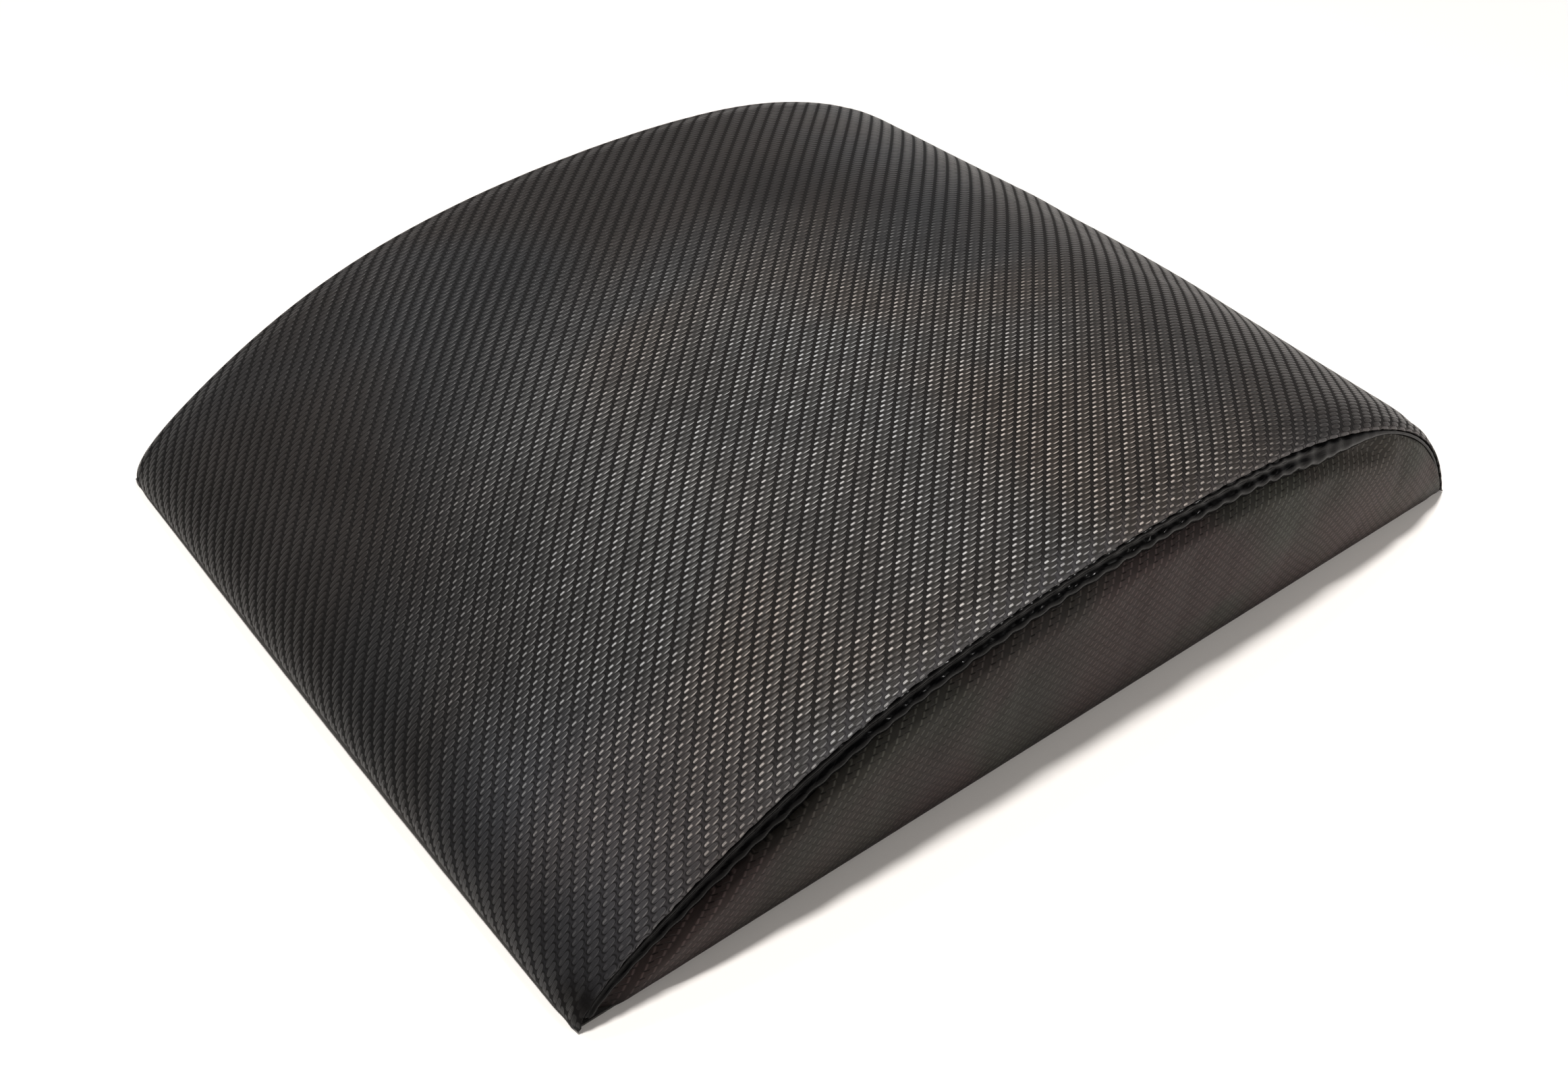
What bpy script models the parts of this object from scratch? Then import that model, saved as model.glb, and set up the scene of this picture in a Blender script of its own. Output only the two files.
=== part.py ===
"""Arched exercise mat: a moulded foam wedge in a sewn vinyl cover with welted ends and a zipped base.

The wedge runs along X, from the low nose at -X to the steep end at +X. Y is across, Z is up,
and the base lies on Z = 0. All lengths are in metres.
"""

import math

import bmesh
import bpy
import numpy as np

# Overall form
BASE_LENGTH = 0.380
BASE_WIDTH = 0.293
ARCH_HEIGHT = 0.0745
CROWN_RISE = 0.0064
FIT_GAP = 0.0003
CUT_OVERRUN = 0.004

# Arch line at the seams: shares of the base length from its middle, and of the arch height
ARCH_SHARES = (
    (-0.500, 0.000),
    (-0.498, 0.170),
    (-0.350, 0.665),
    (-0.180, 0.915),
    (-0.012, 1.002),
    (0.157, 1.006),
    (0.316, 0.892),
    (0.456, 0.533),
    (0.500, 0.000),
)
SPLINE_DEGREE = 3
ARCH_STATIONS = 30
ARCH_SAMPLES = 400
SEARCH_STEPS = 2000
SMOOTH_ANGLE = math.radians(40)

# Top cover: its rolled edge is full along the arch and pinched small at the four corners
COVER_THICKNESS = 0.0014
EDGE_ROLL = 0.0040
CORNER_SHARE = 0.42
CORNER_RUN_SHARE = 0.13
ROLL_FACETS = 3
CROWN_SHARES = (-1.0, -0.75, -0.5, -0.25, 0.0, 0.25, 0.5, 0.75, 1.0)

# Welt between the top cover and each end panel, and the cord sewn into it
WELT_RADIUS = 0.0030
WELT_WALL = 0.0009
WELT_SETBACK = 0.0028
WELT_FACETS = 8
CORD_FACETS = 6
CORD_TRIM_SHARE = 0.10

# End panels
PANEL_THICKNESS = 0.0012
PANEL_BULGE = 0.0030
PANEL_TUCK = 0.0018
BULGE_FULL_HEIGHT = 0.040
PANEL_END_HEIGHT = 0.0020
PANEL_ROW_SHARES = (0.0, 0.10, 0.30, 0.55, 0.78, 0.92, 1.0)

# Foam wedge
FOAM_TOP_GAP = 0.0006
FOAM_SIDE_GAP = 0.0006
FOAM_END_HEIGHT = 0.0040
FOAM_EDGE_ROUND = 0.0076
CHANNEL_MARGIN = 0.0024
CHANNEL_RUN_OUT = 0.0040
FOAM_ROW_SHARES = (0.0, 0.30, 0.58, 0.76, 0.88, 0.96, 1.0)

# Base panels, with the shallow trough that keeps the zip off the floor
BASE_THICKNESS = 0.0012
BASE_INSET = 0.0010
BASE_EASE = 0.0005
BASE_EASE_RUN = 0.0016
ZIP_OFFSET = 0.105
TROUGH_SIDE_SLOPE = 0.0090
TROUGH_END_SLOPE = 0.0090
TROUGH_MARGIN = 0.0016
SLOPE_ROW_SHARES = (0.0, 0.3, 0.7, 1.0)
SLOT_GAP = 0.0008
PULL_FLOOR_GAP = 0.0016

# Zip
ZIP_END_MARGIN = 0.0265
TAPE_WIDTH = 0.0130
TAPE_THICKNESS = 0.0006
COIL_WIDTH = 0.0030
COIL_THICKNESS = 0.0016
COIL_HALF_GAP = 0.00035
STOP_LENGTH = 0.0030
TAPE_TAIL = 0.0040
STITCH_RADIUS = 0.0003
STITCH_PITCH = 0.0060
STITCH_DEPTH = 0.00015
STITCH_FACETS = 4
RINGS_PER_STITCH = 2

# Slider and pull
SLIDER_LENGTH = 0.0110
SLIDER_PLATE = 0.0008
SLIDER_RUNNING_GAP = 0.0003
WEB_RUNNING_GAP = 0.0002
SLIDER_END_GAP = 0.0025
PIN_RADIUS = 0.0005
PIN_CLEARANCE = 0.00025
PIN_OFFSET = 0.0025
LUG_THICKNESS = 0.0008
LUG_LENGTH = 0.0024
EYE_WALL = 0.00055
EYE_WIDTH = 0.0030
EYE_SIDE_GAP = 0.0003
PULL_LENGTH = 0.0150
PULL_WIDTH = 0.0052
PULL_CORNER = 0.0013
PULL_SHOULDER_SHARE = 0.35
PULL_THICKNESS = 0.0009
ROUND_FACETS = 16

# Places worked out from the sizes above: the zip's stack is counted up from the floor
HALF_WIDTH = BASE_WIDTH / 2
ZIP_LENGTH = BASE_WIDTH - 2 * ZIP_END_MARGIN
FLOOR_OF_FOAM = BASE_THICKNESS + FIT_GAP
EYE_BORE_RADIUS = PIN_RADIUS + PIN_CLEARANCE
EYE_RADIUS = EYE_BORE_RADIUS + EYE_WALL
PIN_HEIGHT = PULL_FLOOR_GAP + EYE_RADIUS
LOWER_PLATE_BOTTOM = PIN_HEIGHT + EYE_RADIUS + SLIDER_RUNNING_GAP
LOWER_PLATE_TOP = LOWER_PLATE_BOTTOM + SLIDER_PLATE
COIL_BOTTOM = LOWER_PLATE_TOP + SLIDER_RUNNING_GAP
COIL_TOP = COIL_BOTTOM + COIL_THICKNESS
TAPE_BOTTOM = COIL_TOP + FIT_GAP
TAPE_TOP = TAPE_BOTTOM + TAPE_THICKNESS
UPPER_PLATE_BOTTOM = TAPE_TOP + SLIDER_RUNNING_GAP
UPPER_PLATE_TOP = UPPER_PLATE_BOTTOM + SLIDER_PLATE
TROUGH_RISE = TAPE_BOTTOM - FIT_GAP - BASE_THICKNESS
COIL_HALF_LENGTH = ZIP_LENGTH / 2 - STOP_LENGTH - FIT_GAP
CHAIN_HALF_WIDTH = COIL_HALF_GAP + COIL_WIDTH
SLIDER_HALF_WIDTH = CHAIN_HALF_WIDTH + SLIDER_RUNNING_GAP + SLIDER_PLATE
SLIDER_CLOSED_Y = COIL_HALF_LENGTH - SLIDER_END_GAP - SLIDER_LENGTH / 2
PIN_Y = SLIDER_CLOSED_Y + PIN_OFFSET
SLOT_HALF_WIDTH = SLIDER_HALF_WIDTH + SLOT_GAP
TAPE_REACH = COIL_HALF_GAP + TAPE_WIDTH
CEILING_HALF_WIDTH = TAPE_REACH + TROUGH_MARGIN
TROUGH_HALF_WIDTH = CEILING_HALF_WIDTH + TROUGH_SIDE_SLOPE
TROUGH_HALF_LENGTH = ZIP_LENGTH / 2 + TAPE_TAIL + FIT_GAP
RELIEF_HALF_WIDTH = TROUGH_HALF_WIDTH + FIT_GAP
RELIEF_HALF_LENGTH = TROUGH_HALF_LENGTH + TROUGH_END_SLOPE + FIT_GAP
RELIEF_TOP = UPPER_PLATE_TOP + FIT_GAP
WELT_CHANNEL = WELT_SETBACK + WELT_RADIUS + FOAM_SIDE_GAP
FOAM_EDGE_WIDTH = WELT_CHANNEL + FOAM_EDGE_ROUND
FOAM_EDGE_DEPTH = EDGE_ROLL + 2 * WELT_RADIUS + 2 * FIT_GAP + CHANNEL_MARGIN


def clear_scene():
    for existing in list(bpy.data.objects):
        bpy.data.objects.remove(existing, do_unlink=True)


def make_material(name, colour, roughness, metallic=0.0):
    material = bpy.data.materials.new(name)
    material.use_nodes = True
    shader = material.node_tree.nodes["Principled BSDF"]
    shader.inputs["Base Color"].default_value = (*colour, 1.0)
    shader.inputs["Roughness"].default_value = roughness
    shader.inputs["Metallic"].default_value = metallic
    material.diffuse_color = (*colour, 1.0)
    return material


def object_from(name, points, faces, material, smooth=False):
    mesh = bpy.data.meshes.new(name)
    mesh.from_pydata([tuple(map(float, point)) for point in points], [], faces)
    mesh.materials.append(material)
    work = bmesh.new()
    work.from_mesh(mesh)
    bmesh.ops.recalc_face_normals(work, faces=work.faces)
    work.to_mesh(mesh)
    work.free()
    if smooth:
        mesh.shade_smooth()
        mesh.set_sharp_from_angle(angle=SMOOTH_ANGLE)
    made = bpy.data.objects.new(name, mesh)
    bpy.context.collection.objects.link(made)
    return made


def shell(name, outer, inner, material, kept=None, smooth=True):
    """A closed sheet between two grids of points, with a rim round the cells that are kept."""
    rows = len(outer)
    columns = len(outer[0])
    points = [p for grid in (outer, inner) for line in grid for p in line]

    def outside(i, j):
        return i * columns + j

    def inside(i, j):
        return rows * columns + i * columns + j

    cells = {
        (i, j)
        for i in range(rows - 1)
        for j in range(columns - 1)
        if kept is None or kept(i, j)
    }
    faces = []
    for i, j in sorted(cells):
        corners = ((i, j), (i + 1, j), (i + 1, j + 1), (i, j + 1))
        faces.append([outside(*corner) for corner in corners])
        faces.append([inside(*corner) for corner in reversed(corners)])
        neighbours = ((i, j - 1), (i + 1, j), (i, j + 1), (i - 1, j))
        for side, neighbour in enumerate(neighbours):
            if neighbour in cells:
                continue
            a = corners[side]
            b = corners[(side + 1) % len(corners)]
            faces.append([outside(*b), outside(*a), inside(*a), inside(*b)])
    used = sorted({index for face in faces for index in face})
    place = {index: n for n, index in enumerate(used)}
    faces = [[place[index] for index in face] for face in faces]
    return object_from(name, [points[index] for index in used], faces, material, smooth)


def loft(name, rings, material, smooth=True):
    """A closed solid through rings of equal point counts, with a flat cap at each end."""
    count = len(rings[0])
    points = [point for ring in rings for point in ring]
    faces = []
    for i in range(len(rings) - 1):
        for j in range(count):
            k = (j + 1) % count
            faces.append([i * count + j, i * count + k, (i + 1) * count + k, (i + 1) * count + j])
    faces.append(list(range(count)))
    faces.append([(len(rings) - 1) * count + j for j in range(count)])
    return object_from(name, points, faces, material, smooth)


def box(name, low, high, material, origin=(0, 0, 0)):
    corners = np.array([low, high]) - np.array(origin)
    points = [(corners[i][0], corners[j][1], corners[k][2]) for i in (0, 1) for j in (0, 1) for k in (0, 1)]
    faces = [(0, 1, 3, 2), (4, 6, 7, 5), (0, 4, 5, 1), (2, 3, 7, 6), (0, 2, 6, 4), (1, 5, 7, 3)]
    made = object_from(name, points, faces, material)
    made.location = origin
    return made


def rod_across(name, radius, half_length, centre, material, origin):
    """A round rod along X."""
    rings = []
    for x in (-half_length, half_length):
        turns = [2 * math.pi * n / ROUND_FACETS for n in range(ROUND_FACETS)]
        rings.append(
            [
                (
                    centre[0] - origin[0] + x,
                    centre[1] - origin[1] + radius * math.cos(turn),
                    centre[2] - origin[2] + radius * math.sin(turn),
                )
                for turn in turns
            ]
        )
    made = loft(name, rings, material)
    made.location = origin
    return made


def combine(target, others, operation):
    """Boolean with each helper in turn; the helpers stay as hidden guides."""
    for other in others:
        other.hide_render = True
        other.display_type = "WIRE"
        step = target.modifiers.new(other.name, "BOOLEAN")
        step.object = other
        step.operation = operation
        step.solver = "EXACT"
    return target


def smooth_step(share):
    held = min(max(share, 0.0), 1.0)
    return held * held * (3 - 2 * held)


def spline_weights(count, share):
    """Weights of a clamped B-spline's control points, by the recursive rule."""
    spans = count - SPLINE_DEGREE
    knots = [0.0] * SPLINE_DEGREE + [n / spans for n in range(spans + 1)] + [1.0] * SPLINE_DEGREE
    at = min(max(share, 0.0), 1.0)
    span = SPLINE_DEGREE + min(int(at * spans), spans - 1)
    weights = [1.0 if n == span else 0.0 for n in range(len(knots) - 1)]
    for degree in range(1, SPLINE_DEGREE + 1):
        raised = []
        for n in range(len(weights) - 1):
            left = knots[n + degree] - knots[n]
            right = knots[n + degree + 1] - knots[n + 1]
            value = (at - knots[n]) / left * weights[n] if left else 0.0
            value += (knots[n + degree + 1] - at) / right * weights[n + 1] if right else 0.0
            raised.append(value)
        weights = raised
    return np.array(weights)


ARCH_CONTROLS = np.array(
    [
        (along * BASE_LENGTH, FLOOR_OF_FOAM + up * (ARCH_HEIGHT - FLOOR_OF_FOAM))
        for along, up in ARCH_SHARES
    ]
)


def arch_point(share):
    """Point of the outer arch line at the seams, as (x, z)."""
    return spline_weights(len(ARCH_CONTROLS), share) @ ARCH_CONTROLS


def arch_normal(share):
    """Unit vector out of the arch line, as (x, z)."""
    step = 1 / (ARCH_STATIONS * 8)
    along = arch_point(min(share + step, 1.0)) - arch_point(max(share - step, 0.0))
    along = along / np.linalg.norm(along)
    return np.array([-along[1], along[0]])


def station_shares():
    """Stations along the arch, closer together round the two noses."""
    turns = np.linspace(0.0, math.pi, ARCH_STATIONS + 1)
    plain = turns / math.pi
    bunched = (1 - np.cos(turns)) / 2
    return [float(s) for s in (plain + bunched) / 2]


STATIONS = station_shares()
ARCH_LINE = np.array([arch_point(n / ARCH_SAMPLES) for n in range(ARCH_SAMPLES + 1)])


def edge_share(share):
    """Fullness of the rolled edge and the welt: 1 along the arch, less at the corners."""
    run = min(share, 1 - share) / CORNER_RUN_SHARE
    return CORNER_SHARE + (1 - CORNER_SHARE) * smooth_step(run)


def crown(share, across):
    """Rise of the padding over the arch line; across runs from -1 to 1."""
    return CROWN_RISE * (1 - across * across) * math.sqrt(max(math.sin(math.pi * share), 0.0))


def arch_offset(share, depth):
    """Point at a depth inside the arch line, as (x, z)."""
    return arch_point(share) - arch_normal(share) * depth


def depth_under_arch(x, z):
    return float(np.hypot(ARCH_LINE[:, 0] - x, ARCH_LINE[:, 1] - z).min())


def arch_height_at(x):
    return float(np.interp(x, ARCH_LINE[:, 0], ARCH_LINE[:, 1]))


def cover_section(share, inset):
    """Section of the cover's outer face, or of a face inset from it, as (y, rise along the normal)."""
    roll = EDGE_ROLL * edge_share(share)
    radius = roll - inset
    middle = HALF_WIDTH - roll
    right = []
    for n in range(ROLL_FACETS + 1):
        turn = math.pi / 2 * n / ROLL_FACETS
        y = middle + radius * math.cos(turn)
        right.append((y, -roll + radius * math.sin(turn) + crown(share, y / HALF_WIDTH)))
    top = [
        (middle * across, -inset + crown(share, middle * across / HALF_WIDTH))
        for across in reversed(CROWN_SHARES[1:-1])
    ]
    left = [(-y, rise) for y, rise in reversed(right)]
    return right + top + left


def cover_grid(inset):
    grid = []
    for share in STATIONS:
        x, z = arch_point(share)
        out = arch_normal(share)
        grid.append([(x + out[0] * rise, y, z + out[1] * rise) for y, rise in cover_section(share, inset)])
    for end in (0, -1):
        grid[end] = [(x, y, FLOOR_OF_FOAM) for x, y, _ in grid[end]]
    return grid


def make_top_cover():
    vinyl = make_material("woven_look_vinyl", (0.030, 0.028, 0.027), 0.34)
    return shell("top_cover", cover_grid(0.0), cover_grid(COVER_THICKNESS), vinyl)


def welt_depth(share):
    full = edge_share(share)
    return EDGE_ROLL * full + FIT_GAP + WELT_RADIUS * full


def panel_depth(share):
    return welt_depth(share) + WELT_RADIUS * edge_share(share) + FIT_GAP


def welt_ring(share, radius, facets, side):
    """Ring of the welt in the plane square to the arch line."""
    x, z = arch_offset(share, welt_depth(share))
    out = arch_normal(share)
    middle = HALF_WIDTH - WELT_SETBACK * edge_share(share)
    ring = []
    for n in range(facets):
        turn = 2 * math.pi * n / facets
        rise = radius * math.sin(turn)
        ring.append((x + out[0] * rise, side * (middle + radius * math.cos(turn)), z + out[1] * rise))
    return ring


def shares_above(depth_at, height):
    """First and last shares of the arch where the line at a depth is this high over the foam's floor."""
    tried = [n / SEARCH_STEPS for n in range(SEARCH_STEPS + 1)]
    high = [s for s in tried if arch_offset(s, depth_at(s))[1] >= FLOOR_OF_FOAM + height]
    return high[0], high[-1]


def stations_between(first, last):
    inner = [s for s in STATIONS if first < s < last]
    apart = 1 / (ARCH_STATIONS * 4)
    inner = [s for s in inner if s - first > apart and last - s > apart]
    return [first] + inner + [last]


def make_welts():
    vinyl = make_material("welt_vinyl", (0.012, 0.012, 0.013), 0.25)
    cotton = make_material("welt_cord_fibre", (0.55, 0.53, 0.48), 0.85)
    ends = shares_above(welt_depth, (WELT_RADIUS + FIT_GAP) * CORNER_SHARE)
    for label, side in (("left", 1), ("right", -1)):
        outer = []
        inner = []
        for share in stations_between(*ends):
            radius = WELT_RADIUS * edge_share(share)
            outer.append(welt_ring(share, radius, WELT_FACETS, side))
            inner.append(welt_ring(share, radius - WELT_WALL, WELT_FACETS, side))
        make_tube(f"edge_welt_{label}", outer, inner, vinyl)
        rings = []
        for share in stations_between(CORD_TRIM_SHARE, 1 - CORD_TRIM_SHARE):
            radius = WELT_RADIUS * edge_share(share) - WELT_WALL - 2 * FIT_GAP
            rings.append(welt_ring(share, radius, CORD_FACETS, side))
        loft(f"welt_cord_{label}", rings, cotton)


def make_tube(name, outer, inner, material):
    """A hollow tube through two sets of rings, open at both ends."""
    count = len(outer[0])
    points = [point for rings in (outer, inner) for ring in rings for point in ring]
    start = len(outer) * count
    faces = []
    for i in range(len(outer) - 1):
        for j in range(count):
            k = (j + 1) % count
            low = i * count
            high = (i + 1) * count
            faces.append([low + j, low + k, high + k, high + j])
            faces.append([start + low + j, start + high + j, start + high + k, start + low + k])
    for end in (0, (len(outer) - 1) * count):
        for j in range(count):
            k = (j + 1) % count
            faces.append([end + j, end + k, start + end + k, start + end + j])
    return object_from(name, points, faces, material, True)


def panel_face(x, z):
    """Distance of the end panel's outer face from the middle plane at a point of the panel."""
    full = max(arch_height_at(x) - FLOOR_OF_FOAM, FIT_GAP)
    up = min(max((z - FLOOR_OF_FOAM) / full, 0.0), 1.0)
    bulge = PANEL_BULGE * math.sin(math.pi * up) * min(full / BULGE_FULL_HEIGHT, 1.0)
    tuck = PANEL_TUCK * smooth_step(up) ** 3
    return HALF_WIDTH + bulge - tuck


def make_end_panels():
    vinyl = make_material("end_panel_vinyl", (0.075, 0.068, 0.062), 0.55)
    shares = stations_between(*shares_above(panel_depth, PANEL_END_HEIGHT))
    for label, side in (("left", 1), ("right", -1)):
        outer = []
        inner = []
        for share in shares:
            x, top = arch_offset(share, panel_depth(share))
            heights = [FLOOR_OF_FOAM + up * (top - FLOOR_OF_FOAM) for up in PANEL_ROW_SHARES]
            outer.append([(x, side * panel_face(x, z), z) for z in heights])
            inner.append([(x, side * (panel_face(x, z) - PANEL_THICKNESS), z) for z in heights])
        shell(f"end_panel_{label}", outer, inner, vinyl)


def foam_side(x, z):
    """Half width of the foam at a point of its side: behind the panel, and clear of the welt."""
    depth = depth_under_arch(x, z)
    behind_panel = panel_face(x, z) - PANEL_THICKNESS - FOAM_SIDE_GAP
    if depth >= FOAM_EDGE_DEPTH:
        out = smooth_step((depth - FOAM_EDGE_DEPTH) / CHANNEL_RUN_OUT)
        channel = HALF_WIDTH - WELT_CHANNEL
        return min(behind_panel, channel + (behind_panel - channel) * out)
    rounded = math.sqrt(max(1 - ((FOAM_EDGE_DEPTH - depth) / FOAM_EDGE_DEPTH) ** 2, 0.0))
    return HALF_WIDTH - FOAM_EDGE_WIDTH + (FOAM_EDGE_WIDTH - WELT_CHANNEL) * rounded


def foam_ring(share):
    x, top = arch_offset(share, COVER_THICKNESS + FOAM_TOP_GAP)
    side = []
    for up in FOAM_ROW_SHARES:
        z = FLOOR_OF_FOAM + up * (top - FLOOR_OF_FOAM)
        side.append((x, foam_side(x, z), z))
    edge = side[-1][1]
    out = arch_normal(share)
    over = []
    for across in reversed(CROWN_SHARES[1:-1]):
        y = edge * across
        rise = crown(share, y / HALF_WIDTH)
        over.append((x + out[0] * rise, y, top + out[1] * rise))
    other_side = [(a, -b, c) for a, b, c in reversed(side)]
    return side + over + other_side


def make_foam_core():
    foam = make_material("moulded_foam", (0.10, 0.10, 0.11), 0.9)
    least = FLOOR_OF_FOAM + FOAM_END_HEIGHT
    inset = COVER_THICKNESS + FOAM_TOP_GAP
    shares = [share for share in STATIONS if arch_offset(share, inset)[1] > least]
    core = loft("foam_core", [foam_ring(share) for share in shares], foam)
    relief = box(
        "zip_relief",
        (ZIP_OFFSET - RELIEF_HALF_WIDTH, -RELIEF_HALF_LENGTH, FLOOR_OF_FOAM - CUT_OVERRUN),
        (ZIP_OFFSET + RELIEF_HALF_WIDTH, RELIEF_HALF_LENGTH, RELIEF_TOP),
        foam,
    )
    return combine(core, [relief], "DIFFERENCE")


def trough_lift(x, y):
    """Height of the base panels' lower face: zero on the floor, raised over the zip."""
    across = (TROUGH_HALF_WIDTH - abs(x - ZIP_OFFSET)) / TROUGH_SIDE_SLOPE
    end = (TROUGH_HALF_LENGTH + TROUGH_END_SLOPE - abs(y)) / TROUGH_END_SLOPE
    return TROUGH_RISE * smooth_step(min(across, end))


def edge_ease(x, y):
    """Rise of the base panels' lower face at their outer edges, where the sheet thins to a rounded edge."""
    inside = min(BASE_LENGTH / 2 - abs(x), HALF_WIDTH - abs(y)) - BASE_INSET
    return BASE_EASE * min(max(1 - inside / BASE_EASE_RUN, 0.0), 1.0)


def make_base_panels():
    vinyl = make_material("base_vinyl", (0.045, 0.043, 0.042), 0.6)
    half_length = BASE_LENGTH / 2 - BASE_INSET
    half_width = HALF_WIDTH - BASE_INSET
    side_slope = [CEILING_HALF_WIDTH + TROUGH_SIDE_SLOPE * step for step in SLOPE_ROW_SHARES]
    end_slope = [TROUGH_HALF_LENGTH + TROUGH_END_SLOPE * step for step in SLOPE_ROW_SHARES]
    breaks = (FIT_GAP / 2, SLOT_HALF_WIDTH, *side_slope)
    outer_ends = (half_length - BASE_EASE_RUN, half_length)
    ends = (*end_slope, half_width - BASE_EASE_RUN, half_width)
    across = sorted([*ends, *(-end for end in ends)])
    for label, side in (("front", -1), ("rear", 1)):
        along = [ZIP_OFFSET + side * step for step in breaks] + [side * end for end in outer_ends]
        lower = [[(x, y, trough_lift(x, y) + edge_ease(x, y)) for y in across] for x in along]
        upper = [[(x, y, trough_lift(x, y) + BASE_THICKNESS) for y in across] for x in along]

        def outside_slot(i, j, along=along):
            x = (along[i] + along[i + 1]) / 2
            y = (across[j] + across[j + 1]) / 2
            return abs(x - ZIP_OFFSET) > SLOT_HALF_WIDTH or abs(y) > TROUGH_HALF_LENGTH

        shell(f"base_panel_{label}", lower, upper, vinyl, outside_slot, False)


def make_zip():
    woven = make_material("zip_tape_weave", (0.020, 0.020, 0.021), 0.8)
    nylon = make_material("zip_coil_nylon", (0.030, 0.030, 0.032), 0.4)
    metal = make_material("zip_stop_metal", (0.16, 0.16, 0.17), 0.35, 1.0)
    for label, side in (("front", -1), ("rear", 1)):
        near = ZIP_OFFSET + side * COIL_HALF_GAP
        tape_far = ZIP_OFFSET + side * TAPE_REACH
        coil_far = near + side * COIL_WIDTH
        reach = ZIP_LENGTH / 2 + TAPE_TAIL
        box(
            f"zip_tape_{label}",
            (min(near, tape_far), -reach, TAPE_BOTTOM),
            (max(near, tape_far), reach, TAPE_TOP),
            woven,
        )
        box(
            f"zip_coil_{label}",
            (min(near, coil_far), -COIL_HALF_LENGTH, COIL_BOTTOM),
            (max(near, coil_far), COIL_HALF_LENGTH, COIL_TOP),
            nylon,
        )
    for label, side in (("left", 1), ("right", -1)):
        near = side * (COIL_HALF_LENGTH + FIT_GAP)
        far = side * ZIP_LENGTH / 2
        box(
            f"zip_stop_{label}",
            (ZIP_OFFSET - CHAIN_HALF_WIDTH, min(near, far), COIL_BOTTOM),
            (ZIP_OFFSET + CHAIN_HALF_WIDTH, max(near, far), COIL_TOP),
            metal,
        )


def make_zip_stitches():
    """Rows of topstitching that hold the base panels to the zip tapes."""
    thread = make_material("black_thread", (0.015, 0.015, 0.016), 0.45)
    count = int(ZIP_LENGTH / STITCH_PITCH) * RINGS_PER_STITCH
    row = (SLOT_HALF_WIDTH + TAPE_REACH) / 2
    level = TROUGH_RISE - FIT_GAP - STITCH_RADIUS - STITCH_DEPTH
    for label, side in (("front", -1), ("rear", 1)):
        rings = []
        for n in range(count + 1):
            y = -ZIP_LENGTH / 2 + ZIP_LENGTH * n / count
            z = level + STITCH_DEPTH * (-1) ** n
            ring = []
            for m in range(STITCH_FACETS):
                turn = 2 * math.pi * m / STITCH_FACETS
                x = ZIP_OFFSET + side * row + STITCH_RADIUS * math.cos(turn)
                ring.append((x, y, z + STITCH_RADIUS * math.sin(turn)))
            rings.append(ring)
        loft(f"zip_stitch_{label}", rings, thread)


def make_zip_slider():
    """Plates over and under the chain, side flanges, the web between the coils, two lugs and a pin."""
    metal = make_material("slider_metal", (0.14, 0.14, 0.15), 0.32, 1.0)
    origin = (ZIP_OFFSET, SLIDER_CLOSED_Y, LOWER_PLATE_TOP)
    near = SLIDER_CLOSED_Y - SLIDER_LENGTH / 2
    far = SLIDER_CLOSED_Y + SLIDER_LENGTH / 2
    left = ZIP_OFFSET - SLIDER_HALF_WIDTH
    right = ZIP_OFFSET + SLIDER_HALF_WIDTH
    slider = box("zip_slider", (left, near, LOWER_PLATE_BOTTOM), (right, far, LOWER_PLATE_TOP), metal, origin)
    lower_middle = (LOWER_PLATE_BOTTOM + LOWER_PLATE_TOP) / 2
    upper_middle = (UPPER_PLATE_BOTTOM + UPPER_PLATE_TOP) / 2
    web = COIL_HALF_GAP - WEB_RUNNING_GAP
    web_low = (ZIP_OFFSET - web, near, lower_middle)
    web_high = (ZIP_OFFSET + web, far, upper_middle)
    upper_low = (left, near, UPPER_PLATE_BOTTOM)
    upper_high = (right, far, UPPER_PLATE_TOP)
    parts = [
        box("slider_web", web_low, web_high, metal, origin),
        box("slider_upper_plate", upper_low, upper_high, metal, origin),
    ]
    flange_top = TAPE_BOTTOM - SLIDER_RUNNING_GAP
    lug_in = EYE_WIDTH / 2 + EYE_SIDE_GAP
    for label, side in (("front", -1), ("rear", 1)):
        a, b = sorted((side * SLIDER_HALF_WIDTH, side * (SLIDER_HALF_WIDTH - SLIDER_PLATE)))
        low = (ZIP_OFFSET + a, near, lower_middle)
        parts.append(box(f"slider_flange_{label}", low, (ZIP_OFFSET + b, far, flange_top), metal, origin))
        a, b = sorted((side * lug_in, side * (lug_in + LUG_THICKNESS)))
        low = (ZIP_OFFSET + a, PIN_Y - LUG_LENGTH / 2, PIN_HEIGHT - EYE_RADIUS)
        high = (ZIP_OFFSET + b, PIN_Y + LUG_LENGTH / 2, lower_middle)
        parts.append(box(f"slider_lug_{label}", low, high, metal, origin))
    pin_half = lug_in + LUG_THICKNESS / 2
    pin_middle = (ZIP_OFFSET, PIN_Y, PIN_HEIGHT)
    parts.append(rod_across("slider_pin", PIN_RADIUS, pin_half, pin_middle, metal, origin))
    return combine(slider, parts, "UNION")


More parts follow.
